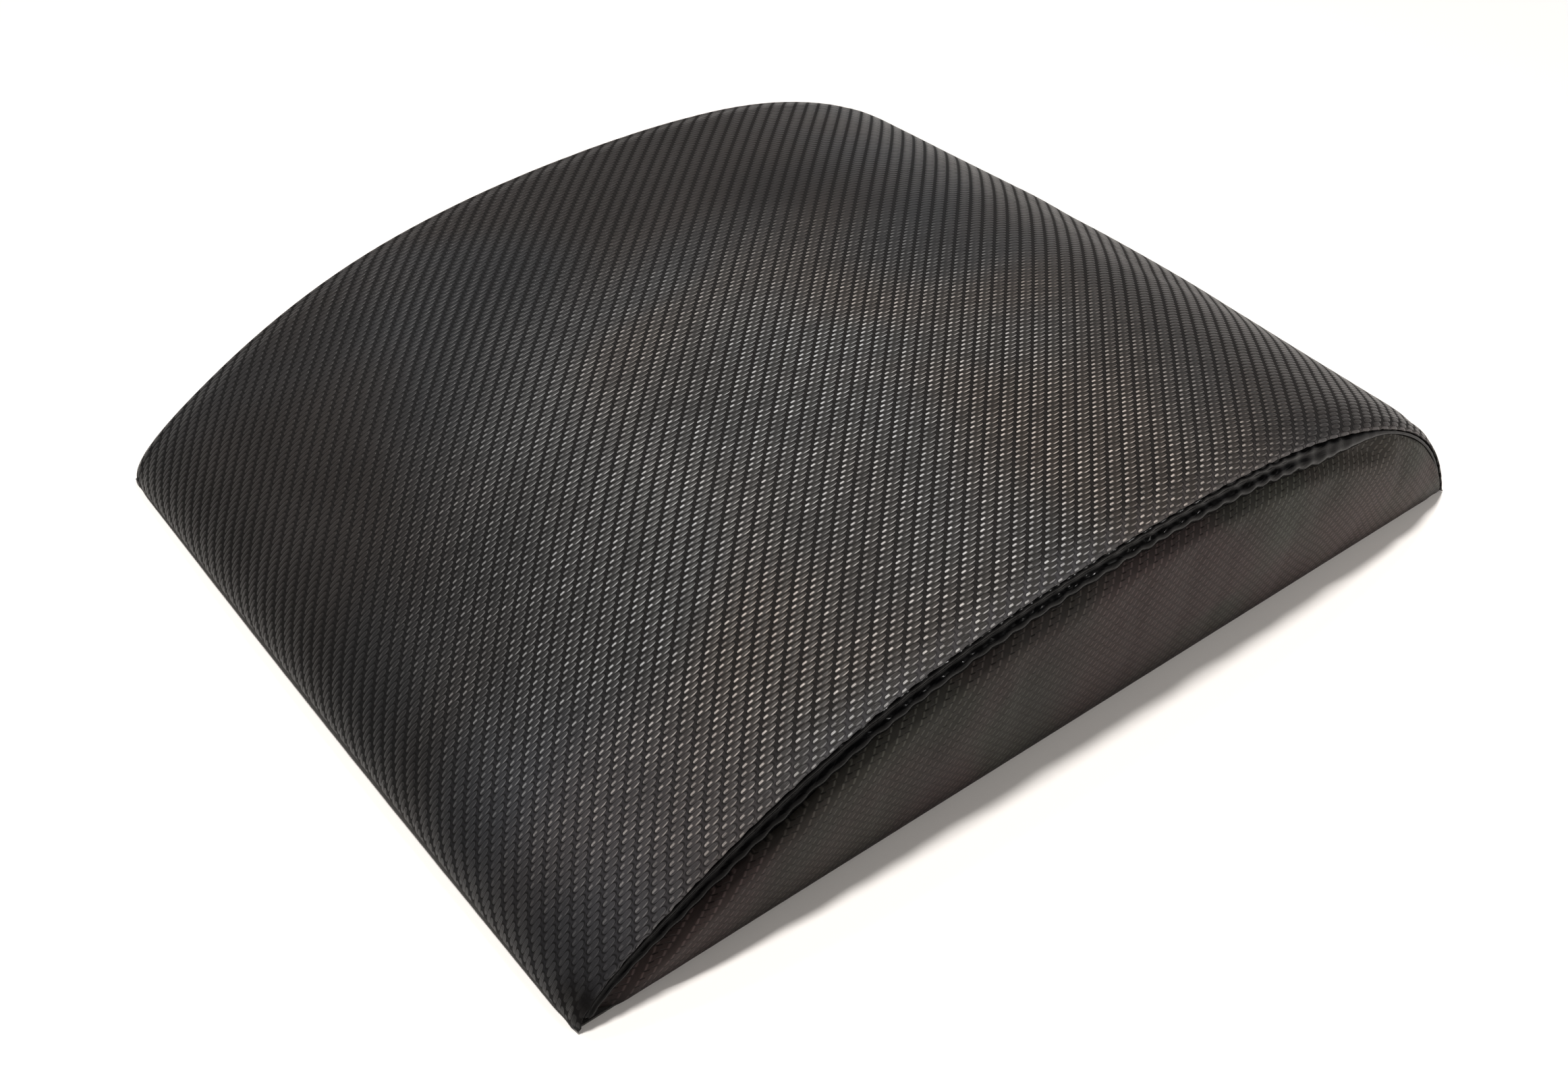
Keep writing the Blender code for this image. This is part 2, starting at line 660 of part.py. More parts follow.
def make_zip_pull():
    """An eye round the slider's pin and a tab that widens to its tip, lying along -Y at rest."""
    metal = make_material("pull_metal", (0.14, 0.14, 0.15), 0.30, 1.0)
    origin = (ZIP_OFFSET, PIN_Y, PIN_HEIGHT)
    half = EYE_WIDTH / 2
    pull = rod_across("zip_pull", EYE_RADIUS, half, origin, metal, origin)
    wide = PULL_WIDTH / 2
    root = -(EYE_BORE_RADIUS + EYE_RADIUS) / 2
    shoulder = -PULL_LENGTH * PULL_SHOULDER_SHARE
    right_edge = [
        (half, root),
        (wide, shoulder),
        (wide, PULL_CORNER - PULL_LENGTH),
        (wide - PULL_CORNER, -PULL_LENGTH),
    ]
    outline = right_edge + [(-x, y) for x, y in reversed(right_edge)]
    rings = [[(x, y, level) for x, y in outline] for level in (-PULL_THICKNESS / 2, PULL_THICKNESS / 2)]
    tab = loft("pull_tab_blank", rings, metal, False)
    tab.location = origin
    bore = rod_across("pull_bore", EYE_BORE_RADIUS, half + CUT_OVERRUN, origin, metal, origin)
    combine(pull, [tab], "UNION")
    return combine(pull, [bore], "DIFFERENCE")


def main():
    clear_scene()
    make_foam_core()
    make_top_cover()
    make_welts()
    make_end_panels()
    make_base_panels()
    make_zip()
    make_zip_stitches()
    make_zip_slider()
    make_zip_pull()


main()
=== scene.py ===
"""Arched exercise mat: the sewn cover, welts, end panels, base and zip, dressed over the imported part.

+X runs from the long low slope to the steep end, +Y across, +Z up, and the mat stands on Z = 0.
"""

import math

import bmesh
import bpy
import numpy as np
from bpy.props import FloatProperty, FloatVectorProperty, PointerProperty
from mathutils import Euler, Matrix, Vector


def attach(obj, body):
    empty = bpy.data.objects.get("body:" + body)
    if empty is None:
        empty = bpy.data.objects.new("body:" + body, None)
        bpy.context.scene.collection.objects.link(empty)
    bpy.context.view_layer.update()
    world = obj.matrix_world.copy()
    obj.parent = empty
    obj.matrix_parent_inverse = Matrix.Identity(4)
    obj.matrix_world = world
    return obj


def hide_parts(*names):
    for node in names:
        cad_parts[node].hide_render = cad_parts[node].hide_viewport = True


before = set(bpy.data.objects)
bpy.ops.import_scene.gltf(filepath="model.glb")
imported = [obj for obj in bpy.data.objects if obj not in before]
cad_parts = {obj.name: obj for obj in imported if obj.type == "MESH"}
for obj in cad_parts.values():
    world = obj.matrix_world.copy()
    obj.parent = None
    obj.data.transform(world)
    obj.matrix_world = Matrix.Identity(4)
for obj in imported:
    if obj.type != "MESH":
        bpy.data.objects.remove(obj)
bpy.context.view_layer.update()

bl_info = {
    "name": "Arched exercise mat",
    "version": (1, 0, 0),
    "blender": (4, 5, 0),
    "location": "View3D > Sidebar > Exercise mat",
    "description": "Builds the sewn cover, welts, end panels, base and zip of an arched exercise mat",
    "category": "Object",
}

# Arch line and seam of the part's own source, in metres
BASE_LENGTH = 0.380
HALF_WIDTH = 0.1465
FLOOR_OF_FOAM = 0.0015
ARCH_HEIGHT = 0.0745
CROWN_RISE = 0.0064
ARCH_SHARES = (
    (-0.500, 0.000),
    (-0.498, 0.170),
    (-0.350, 0.665),
    (-0.180, 0.915),
    (-0.012, 1.002),
    (0.157, 1.006),
    (0.316, 0.892),
    (0.456, 0.533),
    (0.500, 0.000),
)
EDGE_ROLL = 0.0040
CORNER_SHARE = 0.42
CORNER_RUN_SHARE = 0.13

# The zip, the trough over it and the slot between the base panels, in metres
ZIP_X = 0.105
PIN_AT = (ZIP_X, 0.1112, 0.0029)
TROUGH_RISE = 0.0060
CEILING_HALF_WIDTH = 0.01495
TROUGH_SLOPE = 0.0090
TROUGH_HALF_WIDTH = CEILING_HALF_WIDTH + TROUGH_SLOPE
TROUGH_HALF_LENGTH = 0.1243
SLOT_HALF_WIDTH = 0.00525
TAPE_REACH = 0.01335
STITCH_ROW = (SLOT_HALF_WIDTH + TAPE_REACH) / 2
CHAIN_LOW, CHAIN_HIGH = 0.0056, 0.0072

# Places on the cover: where it is sat on and where its painted pool of sheen is centred, the low near corner,
# and two bands beside the seam, for the shoulder's painted sheen and the lip's painted highlight. The last is
# the height of the painted shade at the foot of the end panels.
SEAT_AND_SHEEN = (-0.045, -0.085, 0.07)
CORNER = (-0.188, -0.144, 0.003)
SHOULDER_BAND = (0.1375, 0.1470)
LIP_BAND = (0.1457, 0.1464)
FOOT_BAND = 0.0085

# The photograph's camera: its place, and its turn about X, Y and Z in degrees
CAMERA_PLACE = (-0.314017, -0.379050, 0.389234)
CAMERA_TURN = (50.09331, -1.09866, -38.33138)

UV_NAME = "surface"
BLACK = (0.0, 0.0, 0.0)
WHITE = (1.0, 1.0, 1.0)
# Near-black for painted shade at the low corner's tip and along the end panels' foot.
PAINTED_SHADE = (0.004, 0.003, 0.003)
SETTINGS_NAMES = ("mat_cover", "mat_seam", "mat_panels", "mat_base", "mat_zip", "mat_finish", "mat_studio")


def number(name, description, default, unit="NONE"):
    return FloatProperty(name=name, description=description, default=default, unit=unit)


def length(name, description, default):
    return FloatProperty(name=name, description=description, default=default, unit="LENGTH", precision=5)


def colour(name, description, default):
    return FloatVectorProperty(
        name=name, description=description, default=default, subtype="COLOR", min=0.0, max=1.0
    )


class CoverSettings(bpy.types.PropertyGroup):
    """Top cover."""

    grid: length("Grid", "Spacing of the cover's points along the arch", 0.0020)
    thickness: length("Thickness", "Vinyl and its backing", 0.0014)
    shoulder: length("Shoulder", "Width over which the padding falls to the seam", 0.013)
    shoulder_power: number("Shoulder roundness", "2 is an ellipse, less is a crisper edge", 1.75)
    lip_round: length("Lip", "Radius of the folded edge over the welt", 0.00035)
    lip_wave: length("Lip wave", "How far the folded edge wanders where the weave crosses it", 0.00022)
    ridge: length("Seam ridge", "Height of the folded allowance under the edge", 0.00030)
    swell: length("Swell", "Most that the padding stands out between the seams", 0.0012)


class SeamSettings(bpy.types.PropertyGroup):
    """Edge welts and their cords."""

    radius: length("Welt radius", "Radius of the rolled welt along the arch", 0.0042)
    wall: length("Welt wall", "Vinyl round the cord", 0.0009)
    tallness: number("Tallness", "Height of the welt's section for a width of one", 1.35)
    fold: number("Fold", "Depth of the fold between the two rolls of the welt", 0.32)
    setback: length("Setback", "Middle of the welt behind the seam line", 0.0034)
    pucker: length("Pucker", "Gathers of the welt between its stitches", 0.00040)
    pucker_pitch: length("Pucker pitch", "Spacing of the gathers", 0.0077)


class PanelSettings(bpy.types.PropertyGroup):
    """End panels."""

    thickness: length("Thickness", "Vinyl and its backing", 0.0012)
    bulge: length("Bulge", "Fullness of the panel at mid height", 0.0030)
    tuck: length("Tuck", "How far the top edge goes in under the welt", 0.0062)
    swell: length("Swell", "Most that the padding stands out between the seams", 0.0008)


class BaseSettings(bpy.types.PropertyGroup):
    """Base panels."""

    thickness: length("Thickness", "Vinyl and its backing", 0.0012)
    grid: length("Grid", "Spacing of the panels' points", 0.0045)


class ZipSettings(bpy.types.PropertyGroup):
    """Zip chain, slider and pull."""

    tooth_pitch: length("Tooth pitch", "Spacing of the coil's turns", 0.00127)
    tooth_radius: length("Tooth radius", "Radius of the coil's monofilament", 0.00036)
    stitch_pitch: length("Stitch pitch", "Spacing of the topstitching", 0.0030)
    thread_radius: length("Thread radius", "Radius of the sewing thread", 0.00028)


class FinishSettings(bpy.types.PropertyGroup):
    """Colours and the weave's scale."""

    tow_pitch: length("Weave pitch", "Width of one tow of the embossed weave", 0.00165)
    relief: length("Weave relief", "Depth of the embossed weave", 0.00036)
    # The crosswise tows' darker tone is painted shade: the same vinyl where the lamps miss it.
    cover_light: colour("Cover, lengthwise tows", "Tows that run along the arch", (0.0320, 0.0295, 0.0276))
    cover_dark: colour("Cover, crosswise tows", "Tows that run across the mat", (0.0112, 0.0097, 0.0090))
    # Outside the painted pool of sheen at the seat the cover takes these darker, cooler tones.
    far_light: colour("Far tows", "Lengthwise tows away from the seat", (0.0262, 0.0254, 0.0258))
    far_dark: colour("Far cross tows", "Crosswise tows away from the seat", (0.0122, 0.0118, 0.0123))
    panel_light: colour("Panel, light", "End panel's tows", (0.027, 0.0236, 0.0212))
    panel_dark: colour("Panel, dark", "End panel's grooves", (0.0250, 0.0220, 0.0197))
    # The welt is the cover's vinyl; its near-black is painted shade under the cover's folded edge.
    welt: colour("Welt", "Edge welts", (0.0014, 0.0014, 0.0016))
    base: colour("Base", "Base panels", (0.030, 0.029, 0.028))
    foam: colour("Foam", "Moulded foam", (0.10, 0.10, 0.11))
    cord: colour("Cord", "Welt cord", (0.55, 0.53, 0.48))
    tape: colour("Tape", "Zip tapes", (0.016, 0.016, 0.017))
    coil: colour("Coil", "Zip coils", (0.022, 0.022, 0.024))
    metal: colour("Metal", "Zip metal", (0.14, 0.14, 0.15))
    thread: colour("Thread", "Sewing thread", (0.014, 0.014, 0.015))


class StudioSettings(bpy.types.PropertyGroup):
    """Floor, lamps and camera."""

    floor_colour: colour("Floor", "Pale floor, as the camera sees it", (0.97, 0.945, 0.92))
    floor_bounce: colour("Floor bounce", "Pale floor, as it lights the mat", (0.48, 0.45, 0.43))
    key_power: number("Top", "Broad lamp overhead", 23.0, "POWER")
    glint_power: number("Glint", "Small lamps beyond the mat", 3.0, "POWER")
    fill_power: number("Fill", "Soft lamp at the right", 2.1, "POWER")
    world_level: number("Surround", "Level of the soft surround", 0.18)
    mirrored_level: number("Mirrored", "How much of the white wall mirrored rays show", 0.4)
    shadow_reach: length("Lit floor", "Radius in which the floor takes light and shadow", 0.42)
    wall_start: length("White floor", "Radius from which the floor is plain white", 0.85)
    lens: number("Lens", "Camera's focal length", 39.295, "CAMERA")


SETTINGS = (
    CoverSettings,
    SeamSettings,
    PanelSettings,
    BaseSettings,
    ZipSettings,
    FinishSettings,
    StudioSettings,
)


def spline_weights(count, at):
    """Weights of a clamped cubic B-spline's control points."""
    spans = count - 3
    knots = [0.0] * 3 + [n / spans for n in range(spans + 1)] + [1.0] * 3
    span = 3 + min(int(at * spans), spans - 1)
    weights = [1.0 if n == span else 0.0 for n in range(len(knots) - 1)]
    for degree in (1, 2, 3):
        raised = []
        for n in range(len(weights) - 1):
            left = knots[n + degree] - knots[n]
            right = knots[n + degree + 1] - knots[n + 1]
            value = (at - knots[n]) / left * weights[n] if left else 0.0
            value += (knots[n + degree + 1] - at) / right * weights[n + 1] if right else 0.0
            raised.append(value)
        weights = raised
    return np.array(weights)


ARCH_CONTROLS = np.array(
    [(x * BASE_LENGTH, FLOOR_OF_FOAM + z * (ARCH_HEIGHT - FLOOR_OF_FOAM)) for x, z in ARCH_SHARES]
)
SAMPLE_SHARES = np.linspace(0.0, 1.0, 1601)
ARCH_LINE = np.array([spline_weights(len(ARCH_CONTROLS), s) @ ARCH_CONTROLS for s in SAMPLE_SHARES])
ARC_LENGTHS = np.concatenate([[0.0], np.cumsum(np.linalg.norm(np.diff(ARCH_LINE, axis=0), axis=1))])
WHOLE_ARC = ARC_LENGTHS[-1]
ARCH_SLOPES = np.gradient(ARCH_LINE, axis=0)
ARCH_SLOPES /= np.linalg.norm(ARCH_SLOPES, axis=1)[:, None]
ARCH_NORMALS = np.stack([-ARCH_SLOPES[:, 1], ARCH_SLOPES[:, 0]], axis=1)


def on_arch(shares, table):
    return np.stack([np.interp(shares, SAMPLE_SHARES, table[:, n]) for n in (0, 1)], axis=-1)


def arc_of(shares):
    return np.interp(shares, SAMPLE_SHARES, ARC_LENGTHS)


def share_of(arcs):
    return np.interp(arcs, ARC_LENGTHS, SAMPLE_SHARES)


def arch_height_at(x):
    return np.interp(x, ARCH_LINE[:, 0], ARCH_LINE[:, 1])


def even_shares(spacing):
    """Shares of the arch at an even spacing along it, a little closer at the two feet."""
    even = np.linspace(0.0, WHOLE_ARC, round(WHOLE_ARC / spacing) + 1)
    feet = np.array([0.0003, 0.0007, 0.0012])
    return share_of(np.unique(np.concatenate([even, feet, WHOLE_ARC - feet])))


def smooth_step(values):
    held = np.clip(values, 0.0, 1.0)
    return held * held * (3 - 2 * held)


def fading(distance, run):
    """1 at no distance, falling evenly to 0 at the end of the run."""
    return np.clip(1 - distance / run, 0, 1)


def bell(values, middle, width):
    return np.exp(-(((values - middle) / width) ** 2))


def edge_share(shares):
    """Fullness of the seam: 1 along the arch, less at the corners."""
    run = np.minimum(shares, 1 - shares) / CORNER_RUN_SHARE
    return CORNER_SHARE + (1 - CORNER_SHARE) * smooth_step(run)


def welt_share(shares):
    """Fullness of the welt: it sinks under the edge near the steep end and thins to both corners."""
    sunk, sinks_from, sinking_run = 0.86, 0.765, 0.120
    thinnest, thin_run = 0.50, 0.20
    steep = 1 - sunk * smooth_step((shares - sinks_from) / sinking_run)
    low = thinnest + (1 - thinnest) * smooth_step(shares / thin_run)
    return steep * low


def crown(shares, across):
    swell = np.sqrt(np.clip(np.sin(np.pi * shares), 0.0, None))
    return CROWN_RISE * (1 - across * across) * swell


def wander(arcs, period, seed):
    """A slow, uneven wave along the arch, from -1 to 1, that never repeats exactly."""
    turn = 2 * np.pi * arcs / period
    whole = np.sin(turn + seed)
    whole = whole + 0.55 * np.sin(1.618 * turn + 2.3 * seed) + 0.35 * np.sin(2.74 * turn + 4.1 * seed)
    return whole / 1.9


def spaced(low, high, spacing):
    return np.linspace(low, high, max(round((high - low) / spacing), 1) + 1)


def gathered(*parts):
    """The values of all the parts in order, each once."""
    return np.unique(np.concatenate(parts).round(7))


def grid_of(*parts):
    """Points of these coordinates, each spread over the whole grid."""
    return np.stack(np.broadcast_arrays(*parts), axis=-1)


def placed(shares, across, depths):
    """Points square to the arch line: depths is below it, across is the distance from the middle plane."""
    line_x, line_z = on_arch(shares, ARCH_LINE).T[:, :, None]
    out_x, out_z = on_arch(shares, ARCH_NORMALS).T[:, :, None]
    return grid_of(line_x - out_x * depths, across, line_z - out_z * depths)


def girth(rings):
    """Distance round each ring at each of its points, and at the end of the whole way round."""
    steps = np.linalg.norm(np.diff(np.concatenate([rings, rings[:, :1]], axis=1), axis=1), axis=2)
    return np.concatenate([np.zeros((len(rings), 1)), np.cumsum(steps, axis=1)], axis=1)


def object_of(name, data):
    made = bpy.data.objects.new(name, data)
    bpy.context.scene.collection.objects.link(made)
    return made


def face_outwards(mesh):
    work = bmesh.new()
    work.from_mesh(mesh)
    bmesh.ops.recalc_face_normals(work, faces=work.faces)
    work.to_mesh(mesh)
    work.free()


def piece_of(name, points, faces, surface, crease):
    """A smooth piece of these faces. surface is the UV place of each face's corners in turn."""
    mesh = bpy.data.meshes.new(name)
    mesh.from_pydata(points.tolist(), [], faces)
    layer = mesh.uv_layers.new(name=UV_NAME)
    layer.uv.foreach_set("vector", surface.astype(np.float32).ravel())
    face_outwards(mesh)
    mesh.shade_smooth()
    mesh.set_sharp_from_angle(angle=math.radians(crease))
    return object_of(name, mesh)


def loft(name, rings, surface, crease=60.0):
    """A closed piece through rings, capped at both ends. Its UV grid has one more column than the rings."""
    rows, count = rings.shape[:2]
    i, j = np.meshgrid(np.arange(rows - 1), np.arange(count), indexing="ij")
    k = (j + 1) % count
    quads = np.stack([i * count + j, i * count + k, (i + 1) * count + k, (i + 1) * count + j], axis=-1)
    caps = [[row * count + n for n in range(count)] for row in (0, rows - 1)]
    corners = np.stack([surface[i, j], surface[i, j + 1], surface[i + 1, j + 1], surface[i + 1, j]], axis=-2)
    flat = np.concatenate([corners.reshape(-1, 2), surface[0, :count], surface[-1, :count]])
    return piece_of(name, rings.reshape(-1, 3), quads.reshape(-1, 4).tolist() + caps, flat, crease)


def shell(name, outer, inner, surface, crease=60.0, kept=None):
    """A closed sheet between two grids of points, with a rim round the cells that are kept."""
    rows, columns = outer.shape[:2]
    points = np.concatenate([outer.reshape(-1, 3), inner.reshape(-1, 3)])
    flat = np.concatenate([surface.reshape(-1, 2), surface.reshape(-1, 2)])
    cells = {(i, j) for i in range(rows - 1) for j in range(columns - 1) if kept is None or kept(i, j)}
    start = rows * columns
    faces = []
    for i, j in sorted(cells):
        outside = [a * columns + b for a, b in ((i, j), (i + 1, j), (i + 1, j + 1), (i, j + 1))]
        faces.append(outside)
        faces.append([start + n for n in reversed(outside)])
        for side, neighbour in enumerate(((i, j - 1), (i + 1, j), (i, j + 1), (i - 1, j))):
            if neighbour not in cells:
                a, b = outside[side], outside[(side + 1) % 4]
                faces.append([b, a, start + a, start + b])
    corners = [n for face in faces for n in face]
    used = sorted(set(corners))
    place = {old: new for new, old in enumerate(used)}
    return piece_of(name, points[used], [[place[n] for n in face] for face in faces], flat[corners], crease)


def padded_swell(name, points, strength, frames=20):
    """How far a sheet held at its edges stands out over soft padding, from 0 to 1, by cloth simulation."""
    rows, columns = points.shape[:2]
    i, j = np.meshgrid(np.arange(rows - 1), np.arange(columns - 1), indexing="ij")
    corner = i * columns + j
    faces = np.stack([corner, corner + columns, corner + columns + 1, corner + 1], axis=-1)
    mesh = bpy.data.meshes.new(name)
    mesh.from_pydata(points.reshape(-1, 3).tolist(), [], faces.reshape(-1, 4).tolist())
    sheet = object_of(name, mesh)
    numbers = np.arange(rows * columns).reshape(rows, columns)
    edge = sorted({*numbers[[0, -1]].ravel().tolist(), *numbers[:, [0, -1]].ravel().tolist()})
    sheet.vertex_groups.new(name="seam").add(edge, 1.0, "REPLACE")
    cloth = sheet.modifiers.new("Cloth", "CLOTH")
    held = cloth.settings
    held.quality = 6
    held.mass = 0.35
    held.tension_stiffness = held.compression_stiffness = 18
    held.shear_stiffness = 8
    held.bending_stiffness = 0.6
    held.vertex_group_mass = "seam"
    held.shrink_min = -0.012
    held.use_pressure = True
    held.uniform_pressure_force = strength
    held.effector_weights.gravity = 0
    cloth.point_cache.frame_start = 1
    cloth.point_cache.frame_end = frames
    for frame_number in range(1, frames + 1):
        bpy.context.scene.frame_set(frame_number)
    moved = sheet.evaluated_get(bpy.context.evaluated_depsgraph_get()).to_mesh()
    after = np.empty(len(moved.vertices) * 3)
    moved.vertices.foreach_get("co", after)
    offset = after.reshape(rows, columns, 3) - points
    bpy.context.scene.frame_set(1)
    bpy.data.objects.remove(sheet)
    normals = np.cross(np.gradient(points, axis=0), np.gradient(points, axis=1))
    normals /= np.maximum(np.linalg.norm(normals, axis=2), 1e-12)[..., None]
    out = np.abs((offset * normals).sum(axis=2))
    return out / max(float(out.max()), 1e-9)


def sampled(field, rows, columns):
    """A field on a coarse grid, read at shares of its rows and columns, each from 0 to 1."""
    rows, columns = np.broadcast_arrays(rows, columns)
    at = np.clip(rows, 0, 1) * (field.shape[0] - 1)
    to = np.clip(columns, 0, 1) * (field.shape[1] - 1)
    i = np.minimum(at.astype(int), field.shape[0] - 2)
    j = np.minimum(to.astype(int), field.shape[1] - 2)
    u, v = smooth_step(at - i), smooth_step(to - j)
    low = field[i, j] * (1 - v) + field[i, j + 1] * v
    high = field[i + 1, j] * (1 - v) + field[i + 1, j + 1] * v
    return low * (1 - u) + high * u


def finish_piece(piece, material, body, node_name):
    piece.data.materials.clear()
    piece.data.materials.append(material)
    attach(piece, body)
    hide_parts(node_name)


class Wire:
    """A value in a node tree. Arithmetic with it adds Math nodes to the tree."""

    def __init__(self, socket):
        self.socket = socket

    def __add__(self, other):
        return calc("ADD", self, other)

    def __radd__(self, other):
        return calc("ADD", other, self)

    def __sub__(self, other):
        return calc("SUBTRACT", self, other)

    def __rsub__(self, other):
        return calc("SUBTRACT", other, self)

    def __mul__(self, other):
        return calc("MULTIPLY", self, other)

    def __truediv__(self, other):
        return calc("DIVIDE", self, other)

    def __rtruediv__(self, other):
        return calc("DIVIDE", other, self)

    def __pow__(self, other):
        return calc("POWER", self, other)

    def __abs__(self):
        return calc("ABSOLUTE", self)


def feed(socket, value):
    """Links a Wire to an input, or sets the input's own value."""
    if isinstance(value, Wire):
        socket.id_data.links.new(value.socket, socket)
    elif socket.type == "RGBA":
        socket.default_value = (*value[:3], 1.0)
    else:
        socket.default_value = value


def node(kind, inputs, tree=None, **settings):
    """A new node fed with these inputs: its outputs by name. Its tree is its first Wire's, or is given."""
    wires = [value for value in inputs.values() if isinstance(value, Wire)]
    made = (tree or wires[0].socket.id_data).nodes.new("ShaderNode" + kind)
    for name, value in settings.items():
        setattr(made, name, value)
    for name, value in inputs.items():
        feed(made.inputs[name], value)
    return {key: Wire(socket) for socket in made.outputs for key in (socket.name, socket.identifier)}


def calc(operation, *values):
    return node("Math", dict(enumerate(values)), operation=operation)["Value"]


def eased(value, low, high):
    limits = {"Value": value, "From Min": low, "From Max": high}
    return node("MapRange", limits, interpolation_type="SMOOTHSTEP")["Result"]


def mixed(factor, first, second, blend="MIX"):
    inputs = {0: factor, 6: first, 7: second}
    return node("Mix", inputs, data_type="RGBA", blend_type=blend)["Result_Color"]


def times(first, second):
    return mixed(1.0, first, second, "MULTIPLY")


def axes_of(place):
    return node("SeparateXYZ", {"Vector": place})


def away_from(place, point):
    return node("VectorMath", {0: place, 1: point}, operation="DISTANCE")["Value"]


def noise(place, scale, detail, **more):
    return node("TexNoise", {"Vector": place, "Scale": scale, "Detail": detail, **more})["Fac"]


def stretched_noise(place, scale):
    return noise(node("Mapping", {"Vector": place, "Scale": scale})["Vector"], 1.0, 2.0)


def scaled(tint, factor):
    return tuple(min(c * factor, 1.0) for c in tint)


def new_group(name, inputs, outputs):
    """A shader group: its tree, its inputs as Wires, and its output sockets. None makes a vector input."""
    tree = bpy.data.node_groups.new(name, "ShaderNodeTree")
    for label, default in inputs.items():
        kind = "NodeSocketVector" if default is None else "NodeSocketFloat"
        socket = tree.interface.new_socket(label, in_out="INPUT", socket_type=kind)
        if default is not None:
            socket.default_value = default
    for label in outputs:
        tree.interface.new_socket(label, in_out="OUTPUT", socket_type="NodeSocketFloat")
    given = tree.nodes.new("NodeGroupInput").outputs
    return tree, {label: Wire(given[label]) for label in inputs}, tree.nodes.new("NodeGroupOutput").inputs


def twill_group():
    """Two-over, two-under twill: its relief, which tows are lengthwise on top, and each tow's filaments."""
    tree, given, results = new_group(
        "Twill emboss",
        {"Surface": None, "Pitch": 0.00165, "Slant": 0.5, "Filaments": 5.0, "Cross Height": 0.3},
        ("Relief", "Lengthwise", "Groove", "Filament", "Tow Tint", "Painted Glint", "Riser", "Dash"),
    )
    place = axes_of(given["Surface"])
    u, v = place["X"] / given["Pitch"], place["Y"] / given["Pitch"]
    column, row = calc("FLOOR", u), calc("FLOOR", v)
    across_long, across_short = v - row - 0.5, u - column - 0.5
    stepped = u - row - across_long * given["Slant"]
    along = calc("WRAP", stepped - 1.0, 2.0, -2.0)
    from_middle = abs(along)
    out = (from_middle / 1.48) ** 3.0 + (abs(across_long) / 0.49) ** 2.4
    long_up = 1.0 - eased(out, 0.10, 1.25)
    drop = across_short * across_short * 2.2 * (1.03 - given["Cross Height"])
    short_up = (1.0 - drop) * given["Cross Height"]
    lengthwise = 1.0 - eased(out, 0.80, 1.15)
    rim = eased(out, 0.78, 1.05) * (1.0 - eased(out, 1.25, 2.20))
    filament = calc("COSINE", across_long * (given["Filaments"] * (2 * math.pi))) * lengthwise
    float_number = calc("FLOOR", (stepped + 1.0) / 4.0)
    marks = node("CombineXYZ", {"X": float_number, "Y": row, "Z": lengthwise * 7.0})["Vector"]
    tint = node("TexWhiteNoise", {"Vector": marks}, noise_dimensions="3D")["Value"]
    # Where painted glints go: a float's near end and its lower edge.
    near_end = eased(along, -0.30, -0.62) * (1.0 - eased(out, 0.75, 1.05))
    near_end = near_end * eased(across_long, -0.10, 0.02) * eased(across_long, 0.36, 0.24)
    low_edge = eased(across_long, -0.21, -0.29) * (1.0 - eased(out, 0.85, 1.10)) * eased(along, -0.35, 0.25)
    painted_glint = calc("MAXIMUM", near_end, low_edge * 0.8)
    riser = eased(abs(from_middle - 1.0), 0.30, 0.08) * eased(abs(across_long), 0.50, 0.34)
    outer_side = calc("SIGN", along) * (across_long * -1.0)
    dash = eased(outer_side, 0.28, 0.46) * eased(abs(from_middle - 0.45), 0.60, 0.38)
    relief = calc("SMOOTH_MAX", long_up, short_up, 0.08)
    for socket, value in zip(results, (relief, lengthwise, rim, filament, tint, painted_glint, riser, dash)):
        feed(socket, value)
    return tree


def handling_group():
    """Slow change of tone over a handled surface, with faint rubbed marks."""
    inputs = {"Place": None, "Patch Size": 0.05}
    tree, given, results = new_group("Handling", inputs, ("Tone", "Warmth", "Rubbed"))
    place, scale = given["Place"], 1.0 / given["Patch Size"]
    feed(results[0], eased(noise(place, scale, 2.0), 0.28, 0.72))
    feed(results[1], eased(noise(place, scale * 0.62, 1.0, Distortion=0.6), 0.35, 0.65))
    feed(results[2], eased(noise(place, scale * 14.0, 4.0), 0.60, 0.78))
    return tree


def grain_group():
    """Fine pebble grain of a plain coated sheet or a moulded skin."""
    inputs = {"Place": None, "Grain Size": 0.0009}
    tree, given, results = new_group("Fine grain", inputs, ("Relief", "Crease"))
    scale = 1.0 / given["Grain Size"]
    cells = {"Vector": given["Place"], "Scale": scale}
    pebble = node("TexVoronoi", cells, feature="SMOOTH_F1")["Distance"]
    edge = node("TexVoronoi", cells, feature="DISTANCE_TO_EDGE")["Distance"]
    feed(results[0], (1.0 - pebble) * 0.8 + noise(given["Place"], scale * 3.0, 3.0) * 0.2)
    feed(results[1], 1.0 - eased(edge, 0.0, 0.16))
    return tree


GROUPS = {}


def shared_group(make):
    if make.__name__ not in GROUPS:
        GROUPS[make.__name__] = make()
    return GROUPS[make.__name__]


def new_material(name, specular=0.5, metallic=0.0):
    """A material, its shader's inputs, and the place on the object as a Wire."""
    material = bpy.data.materials.new(name)
    material.use_nodes = True
    shader = material.node_tree.nodes["Principled BSDF"].inputs
    feed(shader["Specular IOR Level"], specular)
    feed(shader["Metallic"], metallic)
    return material, shader, node("TexCoord", {}, material.node_tree)["Object"]


def surface_of(material):
    return node("UVMap", {}, material.node_tree, uv_map=UV_NAME)["UV"]


def handled(place, patch):
    return node("Group", {"Place": place, "Patch Size": patch}, node_tree=shared_group(handling_group))


def dress(shader, tone, roughness, height, relief):
    """Feeds the shader, with the height standing out by relief, in metres."""
    feed(shader["Base Color"], tone)
    feed(shader["Roughness"], roughness)
    bump = node("Bump", {"Height": height, "Distance": relief, "Strength": 1.0})
    feed(shader["Normal"], bump["Normal"])
